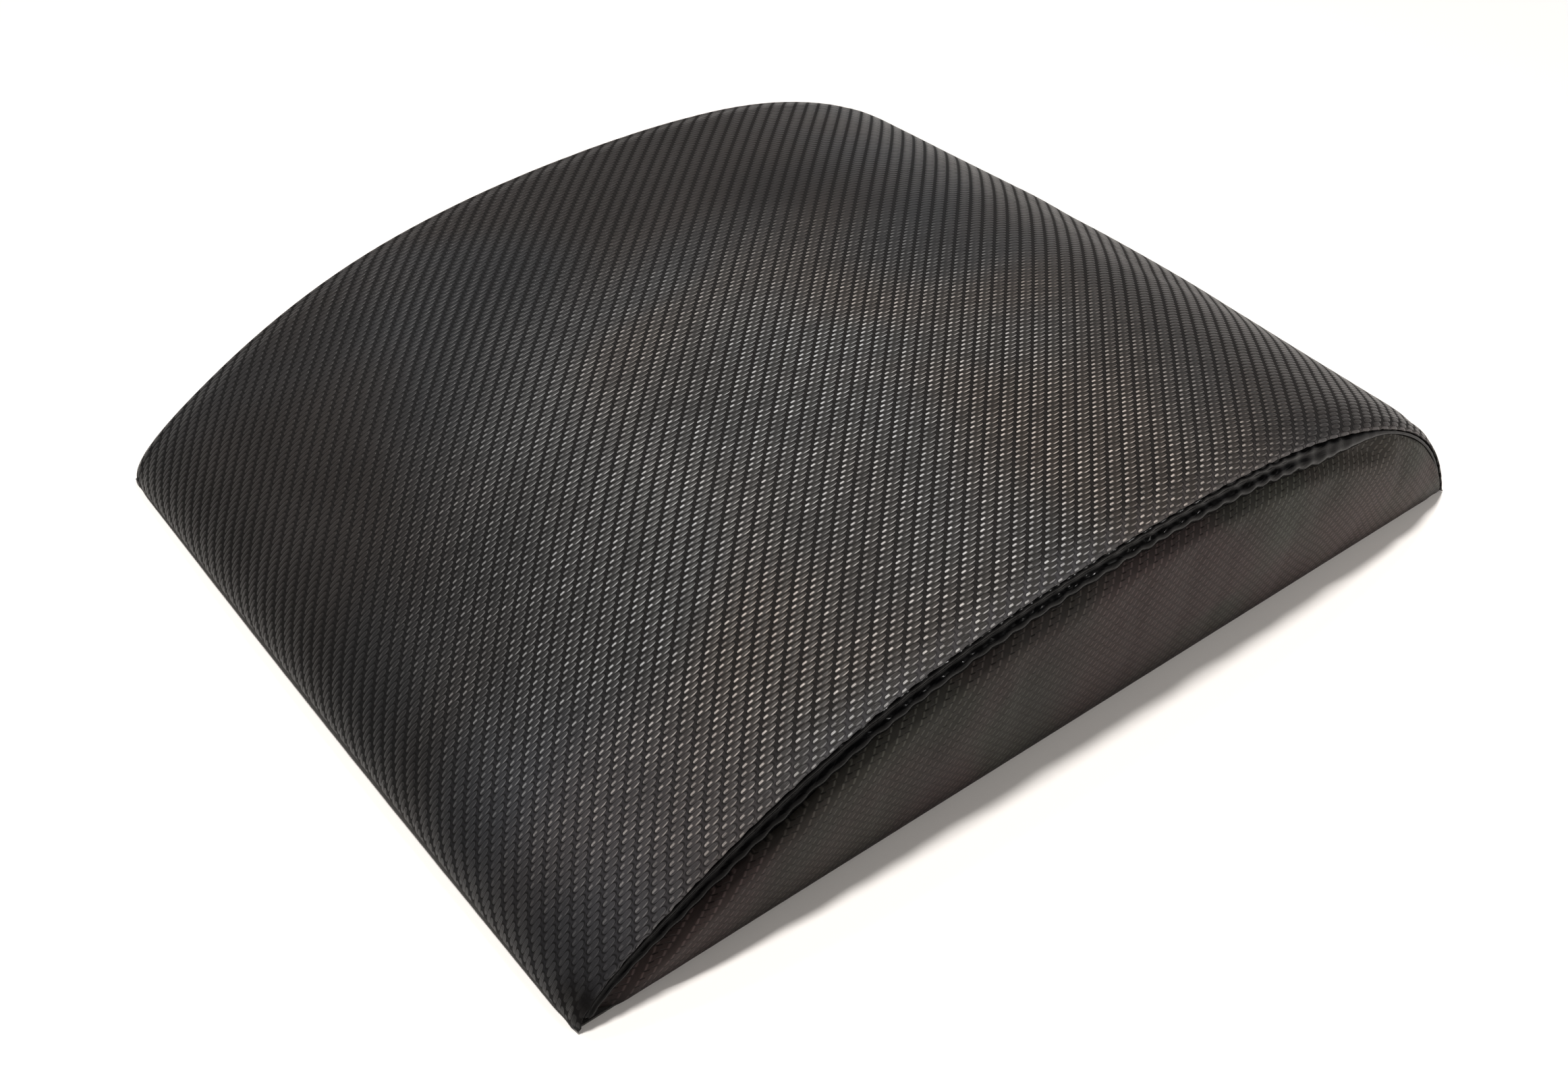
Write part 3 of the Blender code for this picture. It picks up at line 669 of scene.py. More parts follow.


# Tones of the vinyl's details, most of them painted light: sheen at the corner and shoulder, highlights on
# the risers and lip, shade in the steps and grooves, and glints; then what the slow change of hue goes
# between
CORNER_SHEEN_LIGHT = (0.048, 0.047, 0.050)
CORNER_SHEEN_DARK = (0.029, 0.028, 0.031)
SHOULDER_SHEEN = (0.056, 0.053, 0.055)
RISER_HIGHLIGHT = (0.125, 0.116, 0.107)
STEP_SHADE = (0.006, 0.005, 0.005)
LIP_HIGHLIGHT = (0.125, 0.120, 0.122)
GROOVE_SHADE = (0.004, 0.0038, 0.0038)
PAINTED_GLINT = (0.58, 0.56, 0.54)
PLAIN_HUES = ((0.93, 0.98, 1.03), (1.06, 0.98, 0.93))
PANEL_HUES = ((0.95, 1.02, 0.93), (1.16, 0.90, 0.94))


def twill_vinyl(
    name, light, dark, pitch, relief, roughness, specular,
    slant=0.75, cross=0.30, matt=0.45, groove_shade=0.8, tone=0.22,
    patch=0.06, hues=PLAIN_HUES, far=None, stairs=0.0,
):
    """Vinyl embossed with a twill: two tones for the two ways that its tows run; on the cover the crosswise
    tows' darker tone is painted shade.

    far is the cover's pair of tones away from the seat: towards the seat the cover is painted lighter, a pool
    of sheen, with painted glints on its lengthwise tows. stairs is the strength of the end panels' stepped
    marks: painted highlight on the risers and painted shade in the steps, over a stepped relief.
    """
    material, shader, place = new_material(name, specular)
    surface = surface_of(material)
    at = axes_of(place)
    raised, between = light, dark
    if far:
        # Painted pool of sheen: the cover is lighter towards the seat. The same mask lowers the crosswise
        # relief there.
        seat_and_sheen = eased(away_from(place, SEAT_AND_SHEEN), 0.175, 0.060)
        to_corner = away_from(place, CORNER)
        drawn = eased(to_corner, 0.105, 0.045)
        cross = 0.60 - seat_and_sheen * (0.60 - cross) + drawn * 0.40
        # Painted light at the low near corner: both tows lighter and bluer where the drawn-in cover faces the
        # lamps.
        raised = mixed(drawn, mixed(seat_and_sheen, far[0], light), CORNER_SHEEN_LIGHT)
        between = mixed(drawn, mixed(seat_and_sheen, far[1], dark), CORNER_SHEEN_DARK)
    inputs = {"Surface": surface, "Pitch": pitch, "Slant": slant, "Cross Height": cross}
    weave = node("Group", inputs, node_tree=shared_group(twill_group))
    handling = handled(place, patch)
    height = weave["Relief"] + weave["Filament"] * 0.05
    if far:
        # Beside the seam the crosswise tows are painted lighter, sheen on the shoulder, and the emboss
        # flattens where stretched.
        stretched_and_sheen = eased(abs(axes_of(surface)["Y"]), *SHOULDER_BAND) * seat_and_sheen
        between = mixed(stretched_and_sheen, between, SHOULDER_SHEEN)
        height = height * (1.0 - stretched_and_sheen * 0.45) + weave["Filament"] * stretched_and_sheen * 0.10
        groove_shade = groove_shade - stretched_and_sheen * (0.4 * groove_shade)
    # Two tones for the two ways of the tows; the crosswise tows' darker tone is painted shade.
    tows = mixed(weave["Lengthwise"], between, raised)
    tows = mixed(weave["Tow Tint"] * 0.30, tows, times(tows, (1.35, 1.33, 1.30)))
    # Painted highlight along the tows' filaments.
    tows = mixed(eased(weave["Filament"], -0.2, 1.0) * 0.55, tows, times(tows, (1.5, 1.5, 1.5)))
    if stairs:
        # Painted highlight on the risers and painted shade in the recessed steps.
        tows = mixed(weave["Riser"] * stairs, tows, RISER_HIGHLIGHT)
        tows = mixed(weave["Dash"] * 0.80, tows, STEP_SHADE)
        height = height * 0.5 + (weave["Riser"] * 0.5 - weave["Dash"])
    if far:
        # Painted highlight along the cover's folded lip.
        tows = mixed(eased(abs(at["Y"]), *LIP_BAND) * (0.55 + weave["Filament"] * 0.45), tows, LIP_HIGHLIGHT)
    # Painted shade in the recessed grooves round the floats.
    tows = mixed(weave["Groove"] * groove_shade, tows, GROOVE_SHADE)
    if far:
        # Painted glints at the floats' near ends and lower edges, near the seat, stronger on some tows than
        # others.
        worn = 0.306 + weave["Tow Tint"] * 0.748
        tows = mixed(weave["Painted Glint"] * worn * seat_and_sheen, tows, PAINTED_GLINT)
    tows = times(tows, mixed(handling["Warmth"], *hues))
    toned = mixed(handling["Tone"] * tone, tows, BLACK)
    if far:
        # Painted shade at the tip of the low near corner.
        toned = mixed(eased(to_corner, 0.014, 0.005), toned, PAINTED_SHADE)
        # Painted shade: the cover is darker towards the low end, near the floor.
        toned = mixed(eased(at["X"], -0.165, -0.188), toned, times(toned, (0.5, 0.5, 0.5)))
    if stairs:
        # Painted light: the panel is lighter towards the steep end.
        toned = mixed(eased(at["X"], 0.03, 0.15), toned, times(toned, (1.65, 1.78, 1.75)))
        # Painted shade along the foot of the end panel.
        toned = mixed(eased(at["Z"], FOOT_BAND, 0.0) * 0.75, toned, PAINTED_SHADE)
    rough = roughness + (1.0 - weave["Lengthwise"]) * matt
    dress(shader, toned, rough + handling["Rubbed"] * 0.06 + weave["Tow Tint"] * 0.05, height, relief)
    return material


def grained(name, tint, roughness, grain, relief, specular=0.4, crease_shade=0.5):
    """A plain coated sheet or moulded skin with a fine grain."""
    material, shader, place = new_material(name, specular)
    fine = node("Group", {"Place": place, "Grain Size": grain}, node_tree=shared_group(grain_group))
    handling = handled(place, 0.05)
    toned = mixed(fine["Crease"] * crease_shade, tint, scaled(tint, 0.45))
    toned = mixed(handling["Tone"] * 0.35, toned, scaled(tint, 0.6))
    toned = mixed(handling["Rubbed"] * 0.35, toned, scaled(tint, 1.9))
    dress(shader, toned, roughness + handling["Rubbed"] * 0.12, fine["Relief"], relief)
    return material


def twisted(name, tint, strand, slope, roughness):
    """Thread or cord: strands that run aslant round it."""
    material, shader, place = new_material(name, 0.35)
    at = axes_of(surface_of(material))
    wave = calc("COSINE", (at["X"] / strand + at["Y"] / strand * slope) * (2 * math.pi))
    hairs = noise(place, 2200.0, 4.0, Roughness=0.65)
    # Painted shade in the grooves between the strands.
    toned = mixed(eased(wave, -0.9, 0.6), scaled(tint, 0.4), tint)
    toned = mixed(hairs * 0.5, toned, scaled(tint, 1.4))
    dress(shader, toned, roughness + hairs * 0.15, wave + hairs * 0.6, strand * 0.18)
    return material


def plated(name, tint, roughness):
    """Dark plated metal, drawn fine marks and worn a little brighter where it is handled."""
    material, shader, place = new_material(name, 0.5, 1.0)
    marks = stretched_noise(place, (9000.0, 500.0, 9000.0))
    handling = handled(place, 0.004)
    toned = mixed(handling["Rubbed"] * 0.6, tint, scaled(tint, 2.4))
    toned = mixed(handling["Tone"] * 0.4, toned, scaled(tint, 0.7))
    dress(shader, toned, roughness + marks * 0.14 + handling["Tone"] * 0.08, marks, 0.00001)
    return material


def satin_nylon(name, tint):
    """Drawn nylon monofilament: even, satin, with faint draw lines."""
    material, shader, place = new_material(name)
    drawn = stretched_noise(place, (600.0, 7000.0, 7000.0))
    toned = mixed(drawn, scaled(tint, 0.7), scaled(tint, 1.5))
    dress(shader, toned, 0.24 + drawn * 0.18, drawn, 0.000012)
    return material


def alone(*pieces):
    """Object mode with only these pieces selected, the first one active."""
    if bpy.context.mode != "OBJECT":
        bpy.ops.object.mode_set(mode="OBJECT")
    bpy.ops.object.select_all(action="DESELECT")
    for piece in pieces:
        piece.select_set(True)
    bpy.context.view_layer.objects.active = pieces[0]


def build_foam(scene):
    source = bpy.data.objects["foam_core"]
    mesh = source.data.copy()
    wedge = object_of("foam_wedge", mesh)
    work = bmesh.new()
    work.from_mesh(mesh)
    work.transform(source.matrix_world)
    bmesh.ops.remove_doubles(work, verts=work.verts, dist=0.00001)
    work.to_mesh(mesh)
    work.free()
    alone(wedge)
    grid = wedge.modifiers.new("Grid", "REMESH")
    grid.mode = "VOXEL"
    grid.voxel_size = 0.0032
    soften = wedge.modifiers.new("Soften", "SMOOTH")
    soften.factor = 0.5
    soften.iterations = 4
    for modifier in ("Grid", "Soften"):
        bpy.ops.object.modifier_apply(modifier=modifier)
    points = np.empty(len(mesh.vertices) * 3, dtype=np.float32)
    mesh.vertices.foreach_get("co", points)
    points = points.reshape(-1, 3)
    panel, clearance = scene.mat_panels, 0.0012
    most = panel_face(panel, points[:, 0], points[:, 2]) - panel.thickness - clearance
    points[:, 1] = np.clip(points[:, 1], -most, most)
    mesh.vertices.foreach_set("co", points.ravel())
    mesh.shade_smooth()
    material = grained("moulded_foam", scene.mat_finish.foam, 0.85, 0.0011, 0.00025, 0.2, 0.8)
    finish_piece(wedge, material, "mat", "foam_core")


def cover_columns(shoulder):
    """Distances from the middle plane, closer together over the shoulders."""
    half = HALF_WIDTH - shoulder
    middle = np.linspace(-half, half, round(2 * half / 0.0024) + 1)
    edge = HALF_WIDTH - shoulder * (1 - np.sin(np.linspace(0, np.pi / 2, 17)[1:]))
    return np.concatenate([-edge[::-1], middle, edge])


def build_cover(scene):
    settings, finish = scene.mat_cover, scene.mat_finish
    shares = even_shares(settings.grid)
    arcs = arc_of(shares)
    shoulder, power, ridge = settings.shoulder, settings.shoulder_power, settings.ridge
    columns = cover_columns(shoulder)
    trial_shares = share_of(np.linspace(0, WHOLE_ARC, 84))
    trial_across = np.linspace(-HALF_WIDTH, HALF_WIDTH, 60)
    trial = placed(trial_shares, trial_across, -crown(trial_shares[:, None], trial_across / HALF_WIDTH))
    field = padded_swell("cover_trial", trial, 2.4)
    swell = settings.swell * sampled(field, (arcs / WHOLE_ARC)[:, None], (columns / HALF_WIDTH + 1) / 2)
    full = edge_share(shares)[:, None]
    roll = EDGE_ROLL * full
    lip = np.minimum(settings.lip_round, roll * 0.25)

    def fall(q):
        return (roll - lip) * (1 - (1 - q**power) ** (1 / power))

    q = np.clip((np.abs(columns) - (HALF_WIDTH - shoulder)) / shoulder, 0, 1)
    from_lip = HALF_WIDTH - np.abs(columns)
    fold_at, fold_width, hollow_at, hollow_width = 0.0030, 0.0012, 0.0066, 0.0022
    fold = ridge * bell(from_lip, fold_at, fold_width) * (1.25 - 0.25 * full)
    hollow = 0.6 * ridge * bell(from_lip, hollow_at, hollow_width)
    outer = -crown(shares[:, None], columns / HALF_WIDTH) - swell + fall(q) - fold + hollow
    wave_period = 0.0067
    wave, left_wave = (settings.lip_wave * wander(arcs, wave_period, seed)[:, None] for seed in (0.4, 1.9))
    near_lip = q**5
    across = columns + near_lip * np.where(columns > 0, left_wave, -wave)
    outer = outer + near_lip * 0.5 * np.where(columns > 0, left_wave, wave)
    turns = -np.linspace(0, np.pi / 2, 6)[1:]
    lip_out = HALF_WIDTH - lip + lip * np.cos(turns)
    lip_depth = roll - lip - lip * np.sin(turns)
    hem = np.array([0.0012, 0.0026, 0.0040])
    hem_out = HALF_WIDTH - hem + 0 * roll
    hem_depth = roll + 0 * hem
    thickness = np.minimum(settings.thickness, 0.8 * (roll - fall(1 - hem[-1] / shoulder)))
    past_hem = HALF_WIDTH - hem[-1] - 0.0003
    inside = [n for n in range(len(columns)) if abs(columns[n]) < past_hem][::-2]
    flip = slice(None, None, -1)
    parts = (
        (across, outer),
        (lip_out + left_wave, lip_depth + 0.5 * left_wave),
        (hem_out, hem_depth),
        (columns[inside] + 0 * roll, outer[:, inside] + thickness),
        (-hem_out[:, flip], hem_depth[:, flip]),
        (-(lip_out + wave)[:, flip], (lip_depth + 0.5 * wave)[:, flip]),
    )
    ring_across, ring_depth = (np.concatenate(part, axis=1) for part in zip(*parts))
    rings = with_feet(placed(shares, ring_across, ring_depth), ring_depth)
    v = girth(rings)
    middle = len(columns) // 2
    v -= v[:, middle : middle + 1] - columns[middle]
    turned_in = np.array([0.0006, 0.0011])
    u = np.concatenate([-turned_in[::-1], arcs, arcs[-1] + turned_in])
    cover = loft("sewn_cover", rings, grid_of(u[:, None], v))
    material = twill_vinyl(
        "twill_vinyl", finish.cover_light, finish.cover_dark, finish.tow_pitch, finish.relief, 0.30, 0.15,
        slant=0.0, far=(finish.far_light, finish.far_dark),
    )
    finish_piece(cover, material, "mat", "top_cover")


def with_feet(rings, depths):
    """Two more rings at each end, where the edge of the vinyl turns in towards the base."""
    feet = []
    for end, side in ((0, -1), (-1, 1)):
        made = np.stack([rings[end]] * 2)
        for ring, inward, z, thin in zip(made, (0.00012, 0.00035), (0.0009, 0.0004), (0.42, 0.30)):
            ring[:, 0] = side * BASE_LENGTH / 2 - side * (inward + thin * np.maximum(depths[end], 0))
            ring[:, 2] = z
        feet.append(made)
    return np.concatenate([feet[0][::-1], rings, feet[1]])


def welt_radius(scene, shares):
    return scene.mat_seam.radius * welt_share(shares) * edge_share(shares) ** 0.4


def seam_depth(shares):
    """Depth under the arch line at which the welt starts."""
    return EDGE_ROLL * edge_share(shares) + 0.0003


def welt_line(scene, shares):
    """Depth of the welt's middle line under the arch line, and its distance from the middle plane."""
    seam, radius, least = scene.mat_seam, welt_radius(scene, shares), 0.0004
    out = HALF_WIDTH - least - (seam.setback - least) * radius / seam.radius
    return seam_depth(shares) + seam.tallness * radius, out


def seam_shares(depth_at, least, spacing):
    """Shares of the arch between the two places where a line under it comes down to the least height."""
    line = ARCH_LINE - ARCH_NORMALS * depth_at(SAMPLE_SHARES)[:, None]
    high = SAMPLE_SHARES[line[:, 1] >= least]
    return share_of(np.linspace(*arc_of(high[[0, -1]]), max(round(0.43 / spacing), 8)))


def round_lines(scene, shares, side, ring_out, ring_up, scale):
    """Rings set round the welt's line, given as distances outwards and upwards for a radius of one."""
    depth, out = welt_line(scene, shares)
    across = side * (out[:, None] + ring_out * scale[:, None])
    return placed(shares, across, depth[:, None] - ring_up * scale[:, None])


def build_welts(scene):
    settings, finish = scene.mat_seam, scene.mat_finish
    # The welt's near-black tone is painted shade under the cover's folded edge.
    black = finish.welt
    vinyl = twill_vinyl(
        "welt_vinyl", black, black, 0.00165, 0.00003, 0.14, 0.07, groove_shade=0.0, matt=0.04, tone=0.1
    )
    cotton = twisted("welt_cord_fibre", finish.cord, 0.0011, 0.8, 0.8)
    shares = seam_shares(lambda s: welt_line(scene, s)[0], 0.0024, 0.0011)
    arcs = arc_of(shares)
    gap = math.asin(0.145)
    over = np.linspace(np.pi - gap, gap - np.pi, 49)
    under = np.linspace(0.10 - np.pi, np.pi - 0.10, 17)
    tall = settings.tallness
    wall, pucker = 1 - settings.wall / settings.radius, settings.pucker / settings.radius
    calm_from, calming_run = 0.70, 0.14
    calm = 1 - smooth_step((shares - calm_from) / calming_run)
    fold_at, fold_width, flange_reach = 0.36, 0.28, 1.32
    fold = 1 - settings.fold * calm[:, None] * bell(over, fold_at, fold_width)
    flange = -flange_reach + np.zeros((len(shares), 1))
    inner = wall * 0.9 * np.cos(under) + 0 * flange
    outs = np.concatenate([flange, fold * np.cos(over), flange, flange + 0.02, inner, flange + 0.02], axis=1)
    ups = np.concatenate([[0.13], tall * np.sin(over), [-0.13, -0.02], wall * tall * np.sin(under), [0.02]])
    from_end = np.minimum(np.arange(len(shares)), np.arange(len(shares))[::-1])
    taper = np.interp(from_end, (0, 1, 2, 3), (0.45, 0.78, 0.95, 1.0))
    cord_start, cord_end, clearance = 0.07, 0.83, 0.00016
    held = shares[(shares > cord_start) & (shares < cord_end)][::2]
    inside = welt_radius(scene, held) * (1 - pucker) - settings.wall - clearance
    round_cord = np.linspace(0, 2 * np.pi, 25)
    turns = round_cord[:-1]
    lay, strand_depth = 0.011, 0.12
    twist = 2 * np.pi * arc_of(held) / lay
    lobes = 1 - strand_depth + strand_depth * np.cos(3 * (turns + twist[:, None]))
    for side, label, seed in ((1, "left", 0.7), (-1, "right", 2.2)):
        gather = 0.5 + 0.5 * np.cos(2 * np.pi * arcs / settings.pucker_pitch + 0.9 * wander(arcs, 0.05, seed))
        radius = welt_radius(scene, shares) * (1 - pucker * gather * (0.25 + 0.75 * calm))
        radius = radius * (1 + 0.035 * wander(arcs, 0.021, seed)) * taper
        rings = round_lines(scene, shares, side, outs, ups, radius)
        welt = loft(f"{label}_welt", rings, grid_of(arcs[:, None], girth(rings)), 70.0)
        finish_piece(welt, vinyl, "mat", f"edge_welt_{label}")
        rings = round_lines(scene, held, side, lobes * np.cos(turns), lobes * np.sin(turns), inside)
        surface = grid_of(arc_of(held)[:, None], round_cord * settings.radius * 0.6)
        cord = loft(f"{label}_cord", rings, surface)
        finish_piece(cord, cotton, "mat", f"welt_cord_{label}")


def full_height(x):
    return np.maximum(arch_height_at(x) - FLOOR_OF_FOAM, 0.0003)


def panel_face(settings, x, z):
    """Distance of an end panel's outer face from the middle plane, without its rumples."""
    tuck_start, tuck_run, full_bulge_height, full_tuck_height = 0.0140, 0.0070, 0.040, 0.030
    steep_end, steep_run = 0.126, 0.018
    full = full_height(x)
    risen = np.clip((z - FLOOR_OF_FOAM) / full, 0, 1)
    under = np.clip((full - (z - FLOOR_OF_FOAM) - tuck_start) / tuck_run, 0, 1)
    bulge = settings.bulge * np.sin(np.pi * risen) * np.minimum(full / full_bulge_height, 1)
    less = 1 - 0.9 * smooth_step((x - steep_end) / steep_run)
    recess = settings.tuck * np.minimum(full / full_tuck_height, 1) * less
    return HALF_WIDTH + bulge - recess * (1 - under) ** 2


def build_end_panels(scene):
    settings, finish = scene.mat_panels, scene.mat_finish
    vinyl = twill_vinyl(
        "panel_vinyl", finish.panel_light, finish.panel_dark, 0.00174, 0.00014, 0.6, 0.20,
        matt=0.03, groove_shade=0.12, cross=0.97, tone=0.3, patch=0.035, hues=PANEL_HUES, stairs=0.50,
    )

    def top_depth(shares):
        return seam_depth(shares) + 2 * scene.mat_seam.tallness * welt_radius(scene, shares) + 0.0001

    foot = 0.0005
    shares = seam_shares(top_depth, foot + 0.0012, 0.0020)
    line = on_arch(shares, ARCH_LINE) - on_arch(shares, ARCH_NORMALS) * top_depth(shares)[:, None]
    x, top = line[:, 0], line[:, 1:]
    rows, trial_rows = np.linspace(0, 1, len(x)), np.linspace(0, 1, 70)
    trial_x, trial_top = (np.interp(trial_rows, rows, values)[:, None] for values in (x, top[:, 0]))
    flat = grid_of(trial_x, HALF_WIDTH, foot + np.linspace(0, 1, 20) * (trial_top - foot))
    up = np.linspace(0, 1, 33)
    up = 0.5 * up + 0.5 * smooth_step(up)
    swell = settings.swell * sampled(padded_swell("panel_trial", flat, 2.0), rows[:, None], up)
    z = foot + up * (top - foot)
    risen = np.clip((z - FLOOR_OF_FOAM) / full_height(x)[:, None], 0, 1)
    curl_depth, curl_run, turned_under, crease_depth, crease_reach = 0.0007, 0.0022, 0.0010, 0.00030, 0.010
    curl = curl_depth * fading(z - foot, curl_run) ** 2
    under = turned_under * smooth_step((up - 0.94) / 0.06)
    smooth = panel_face(settings, x[:, None], z) + swell - curl - under
    creases = crease_depth * wander(x, 0.034, 0.9)[:, None] * bell(z, top, crease_reach)
    wall = np.interp(z, (0.0013, 0.0032), (0.0003, settings.thickness))
    for side, label, seed in ((1, "left", 1.3), (-1, "right", 0.2)):
        rumple = 0.00025 * wander(x + 0.6 * foot, 0.061, seed)[:, None] * np.sin(np.pi * risen)
        out = smooth + creases * side + rumple
        outer = grid_of(x[:, None], side * out, z)
        inner = grid_of(x[:, None], side * (out - wall), z)
        steps = np.hypot(np.diff(z, axis=1), np.diff(out, axis=1))
        climb = np.concatenate([0 * z[:, :1], np.cumsum(steps, axis=1)], axis=1)
        surface = grid_of(-side * x[:, None], climb - climb[:, -1:] + top)
        panel = shell(f"{label}_end", outer, inner, surface)
        finish_piece(panel, vinyl, "mat", f"end_panel_{label}")


def trough_lift(x, y):
    across = (TROUGH_HALF_WIDTH - np.abs(x - ZIP_X)) / TROUGH_SLOPE
    end = (TROUGH_HALF_LENGTH + TROUGH_SLOPE - np.abs(y)) / TROUGH_SLOPE
    return TROUGH_RISE * smooth_step(np.minimum(across, end))


def build_base(scene):
    settings = scene.mat_base
    vinyl = grained("base_vinyl", scene.mat_finish.base, 0.58, 0.00085, 0.00011)
    inset, eased_run, slope_grid = 0.0010, 0.0016, 0.0009
    half_width, half_length = HALF_WIDTH - inset, BASE_LENGTH / 2 - inset
    slope_end = TROUGH_HALF_LENGTH + TROUGH_SLOPE
    slot_edge = 0.0012
    unevenness, calm_edge, stitch_pull, stitch_width = 0.00012, 0.012, 0.00018, 0.0011
    rim = np.array([0.0011, 0.0007, 0.0003, 0.0])
    y_up = gathered(
        spaced(0, TROUGH_HALF_LENGTH, settings.grid),
        spaced(TROUGH_HALF_LENGTH, slope_end, slope_grid),
        spaced(slope_end, half_width - eased_run, settings.grid / 2),
        half_width - rim,
    )
    y = np.concatenate([-y_up[:0:-1], y_up])
    for side, label in ((-1, "front"), (1, "rear")):
        run = abs(side * half_length - ZIP_X)
        x = ZIP_X + side * gathered(
            [0.00015, 0.0030],
            SLOT_HALF_WIDTH + np.array([0.0, 0.00025, 0.0006, slot_edge]),
            spaced(SLOT_HALF_WIDTH + slot_edge, CEILING_HALF_WIDTH, 0.0013),
            spaced(CEILING_HALF_WIDTH, TROUGH_HALF_WIDTH, slope_grid),
            spaced(TROUGH_HALF_WIDTH, run - eased_run, settings.grid),
            run - rim,
        )
        xs, ys = np.meshgrid(x, y, indexing="ij")
        off = np.abs(xs - ZIP_X)
        inside = np.minimum(half_length - np.abs(xs), half_width - np.abs(ys))
        ease = 0.0005 * fading(inside, eased_run) ** 2
        in_slot = np.abs(ys) < TROUGH_HALF_LENGTH + 0.0001
        hem = 0.0004 * fading(off - SLOT_HALF_WIDTH, 0.0006) ** 2 * in_slot
        uneven = unevenness * (wander(xs, 0.071, 0.3) * wander(ys, 0.083, 1.1) + 1)
        uneven = uneven * np.clip(inside / calm_edge, 0, 1)
        lift = trough_lift(xs, ys)
        pulled = stitch_pull * (0.5 + 0.5 * np.cos(2 * np.pi * ys / (2 * scene.mat_zip.stitch_pitch)))
        pulled = pulled * bell(off, STITCH_ROW, stitch_width) * in_slot
        lower = grid_of(xs, ys, lift + ease + hem + uneven + pulled)
        upper = grid_of(xs, ys, lift + settings.thickness - 0.5 * hem + 0.4 * uneven)

        def kept(i, j, x=x):
            beside_slot = abs((x[i] + x[i + 1]) / 2 - ZIP_X) > SLOT_HALF_WIDTH
            return beside_slot or abs((y[j] + y[j + 1]) / 2) > TROUGH_HALF_LENGTH

        panel = shell(f"{label}_base", lower, upper, grid_of(xs, ys), 50.0, kept)
        finish_piece(panel, vinyl, "mat", f"base_panel_{label}")


def build_tapes(scene):
    tint = scene.mat_finish.tape
    woven = twill_vinyl("zip_tape_weave", tint, tint, 0.00042, 0.00012, 0.72, 0.25, groove_shade=0.6)
    inner_edge, rounding, run = 0.00035, 0.00018, 0.0005
    steps = gathered([inner_edge, 0.0006, 0.0010], spaced(0.0010, TAPE_REACH, 0.0011), [0.0131])
    for side, label in ((-1, "front"), (1, "rear")):
        xs, ys = np.meshgrid(ZIP_X + side * steps, spaced(-0.124, 0.124, 0.0020), indexing="ij")
        off = np.abs(xs - ZIP_X)
        edge = rounding * fading(TAPE_REACH - off, run) ** 2
        inner = rounding * fading(off - inner_edge, run) ** 2
        ripple = 0.00006 * wander(ys, 0.012, 0.6 + side) * np.clip((off - 0.004) / 0.004, 0, 1)
        lower = grid_of(xs, ys, 0.0075 + edge + inner + ripple * 0.5 + 0.00003)
        upper = grid_of(xs, ys, 0.0081 - edge - inner + ripple * 0.5 - 0.00003)
        tape = shell(f"{label}_tape", lower, upper, grid_of(ys, side * xs))
        finish_piece(tape, woven, "mat", f"zip_tape_{label}")


def build_stitches(scene):
    settings = scene.mat_zip
    thread = twisted("black_thread", scene.mat_finish.thread, 0.00030, 0.7, 0.42)
    radius, reach = settings.thread_radius, 0.1199
    y = np.linspace(-reach, reach, round(2 * reach / settings.stitch_pitch) * 12 + 1)
    turn = 2 * np.pi * y / settings.stitch_pitch
    z = 0.00545 + 0.00075 * smooth_step((np.cos(turn) - 0.45) / 0.5)
    slope = np.gradient(z, y)
    lean = np.stack([-slope, np.ones_like(slope)], axis=-1)
    lean /= np.linalg.norm(lean, axis=1)[:, None]
    angles = np.linspace(0, 2 * np.pi, 9)
    out, up = radius * np.cos(angles[:-1]), radius * np.sin(angles[:-1])
    along, rise = y[:, None] + lean[:, :1] * up, z[:, None] + lean[:, 1:] * up
    for side, label in ((-1, "front"), (1, "rear")):
        x = ZIP_X + side * STITCH_ROW + 0.00010 * np.sin(turn)
        rings = grid_of(x[:, None] + out, along, rise)
        stitches = loft(f"{label}_stitches", rings, grid_of(y[:, None], angles * radius))
        finish_piece(stitches, thread, "mat", f"zip_stitch_{label}")


def fresh(name, add, **settings):
    """A primitive of these settings, named, alone in the selection and with its transform applied."""
    bpy.ops.object.select_all(action="DESELECT")
    add(**settings)
    made = bpy.context.object
    made.name = made.data.name = name
    bpy.ops.object.transform_apply(location=True, rotation=True, scale=True)
    return made


def block(name, low, high):
    middle = [(a + b) / 2 for a, b in zip(low, high)]
    size = [b - a for a, b in zip(low, high)]
    return fresh(name, bpy.ops.mesh.primitive_cube_add, size=1.0, location=middle, scale=size)


def rod(name, vertices, radius, depth):
    """A cylinder across the mat's length, round the pull's pin."""
    shape = {"vertices": vertices, "radius": radius, "depth": depth}
    add = bpy.ops.mesh.primitive_cylinder_add
    return fresh(name, add, **shape, location=PIN_AT, rotation=(0, math.pi / 2, 0))


def pick(piece, kind, test):
    """Edit mode with only the edges or faces that pass the test selected."""
    alone(piece)
    bpy.ops.object.mode_set(mode="EDIT")
    bpy.ops.mesh.select_mode(type=kind)
    bpy.ops.mesh.select_all(action="DESELECT")
    work = bmesh.from_edit_mesh(piece.data)
    for item in work.edges if kind == "EDGE" else work.faces:
        if test(item):
            item.select_set(True)
    work.select_flush_mode()
    bmesh.update_edit_mesh(piece.data)


def done():
    bpy.ops.object.mode_set(mode="OBJECT")


def always(item):
    return True


def runs_along(edge, axis):
    a, b = (vertex.co for vertex in edge.verts)
    return abs(a[axis] - b[axis]) > 0.5 * (a - b).length


def upright(edge):
    return runs_along(edge, 2)


def ends_below(edge, axis, limit):
    """Whether both ends of an edge are below this place on the axis."""
    return all(vertex.co[axis] < limit for vertex in edge.verts)


def facing(axis, sign):
    return lambda face: face.normal[axis] * sign > 0.9


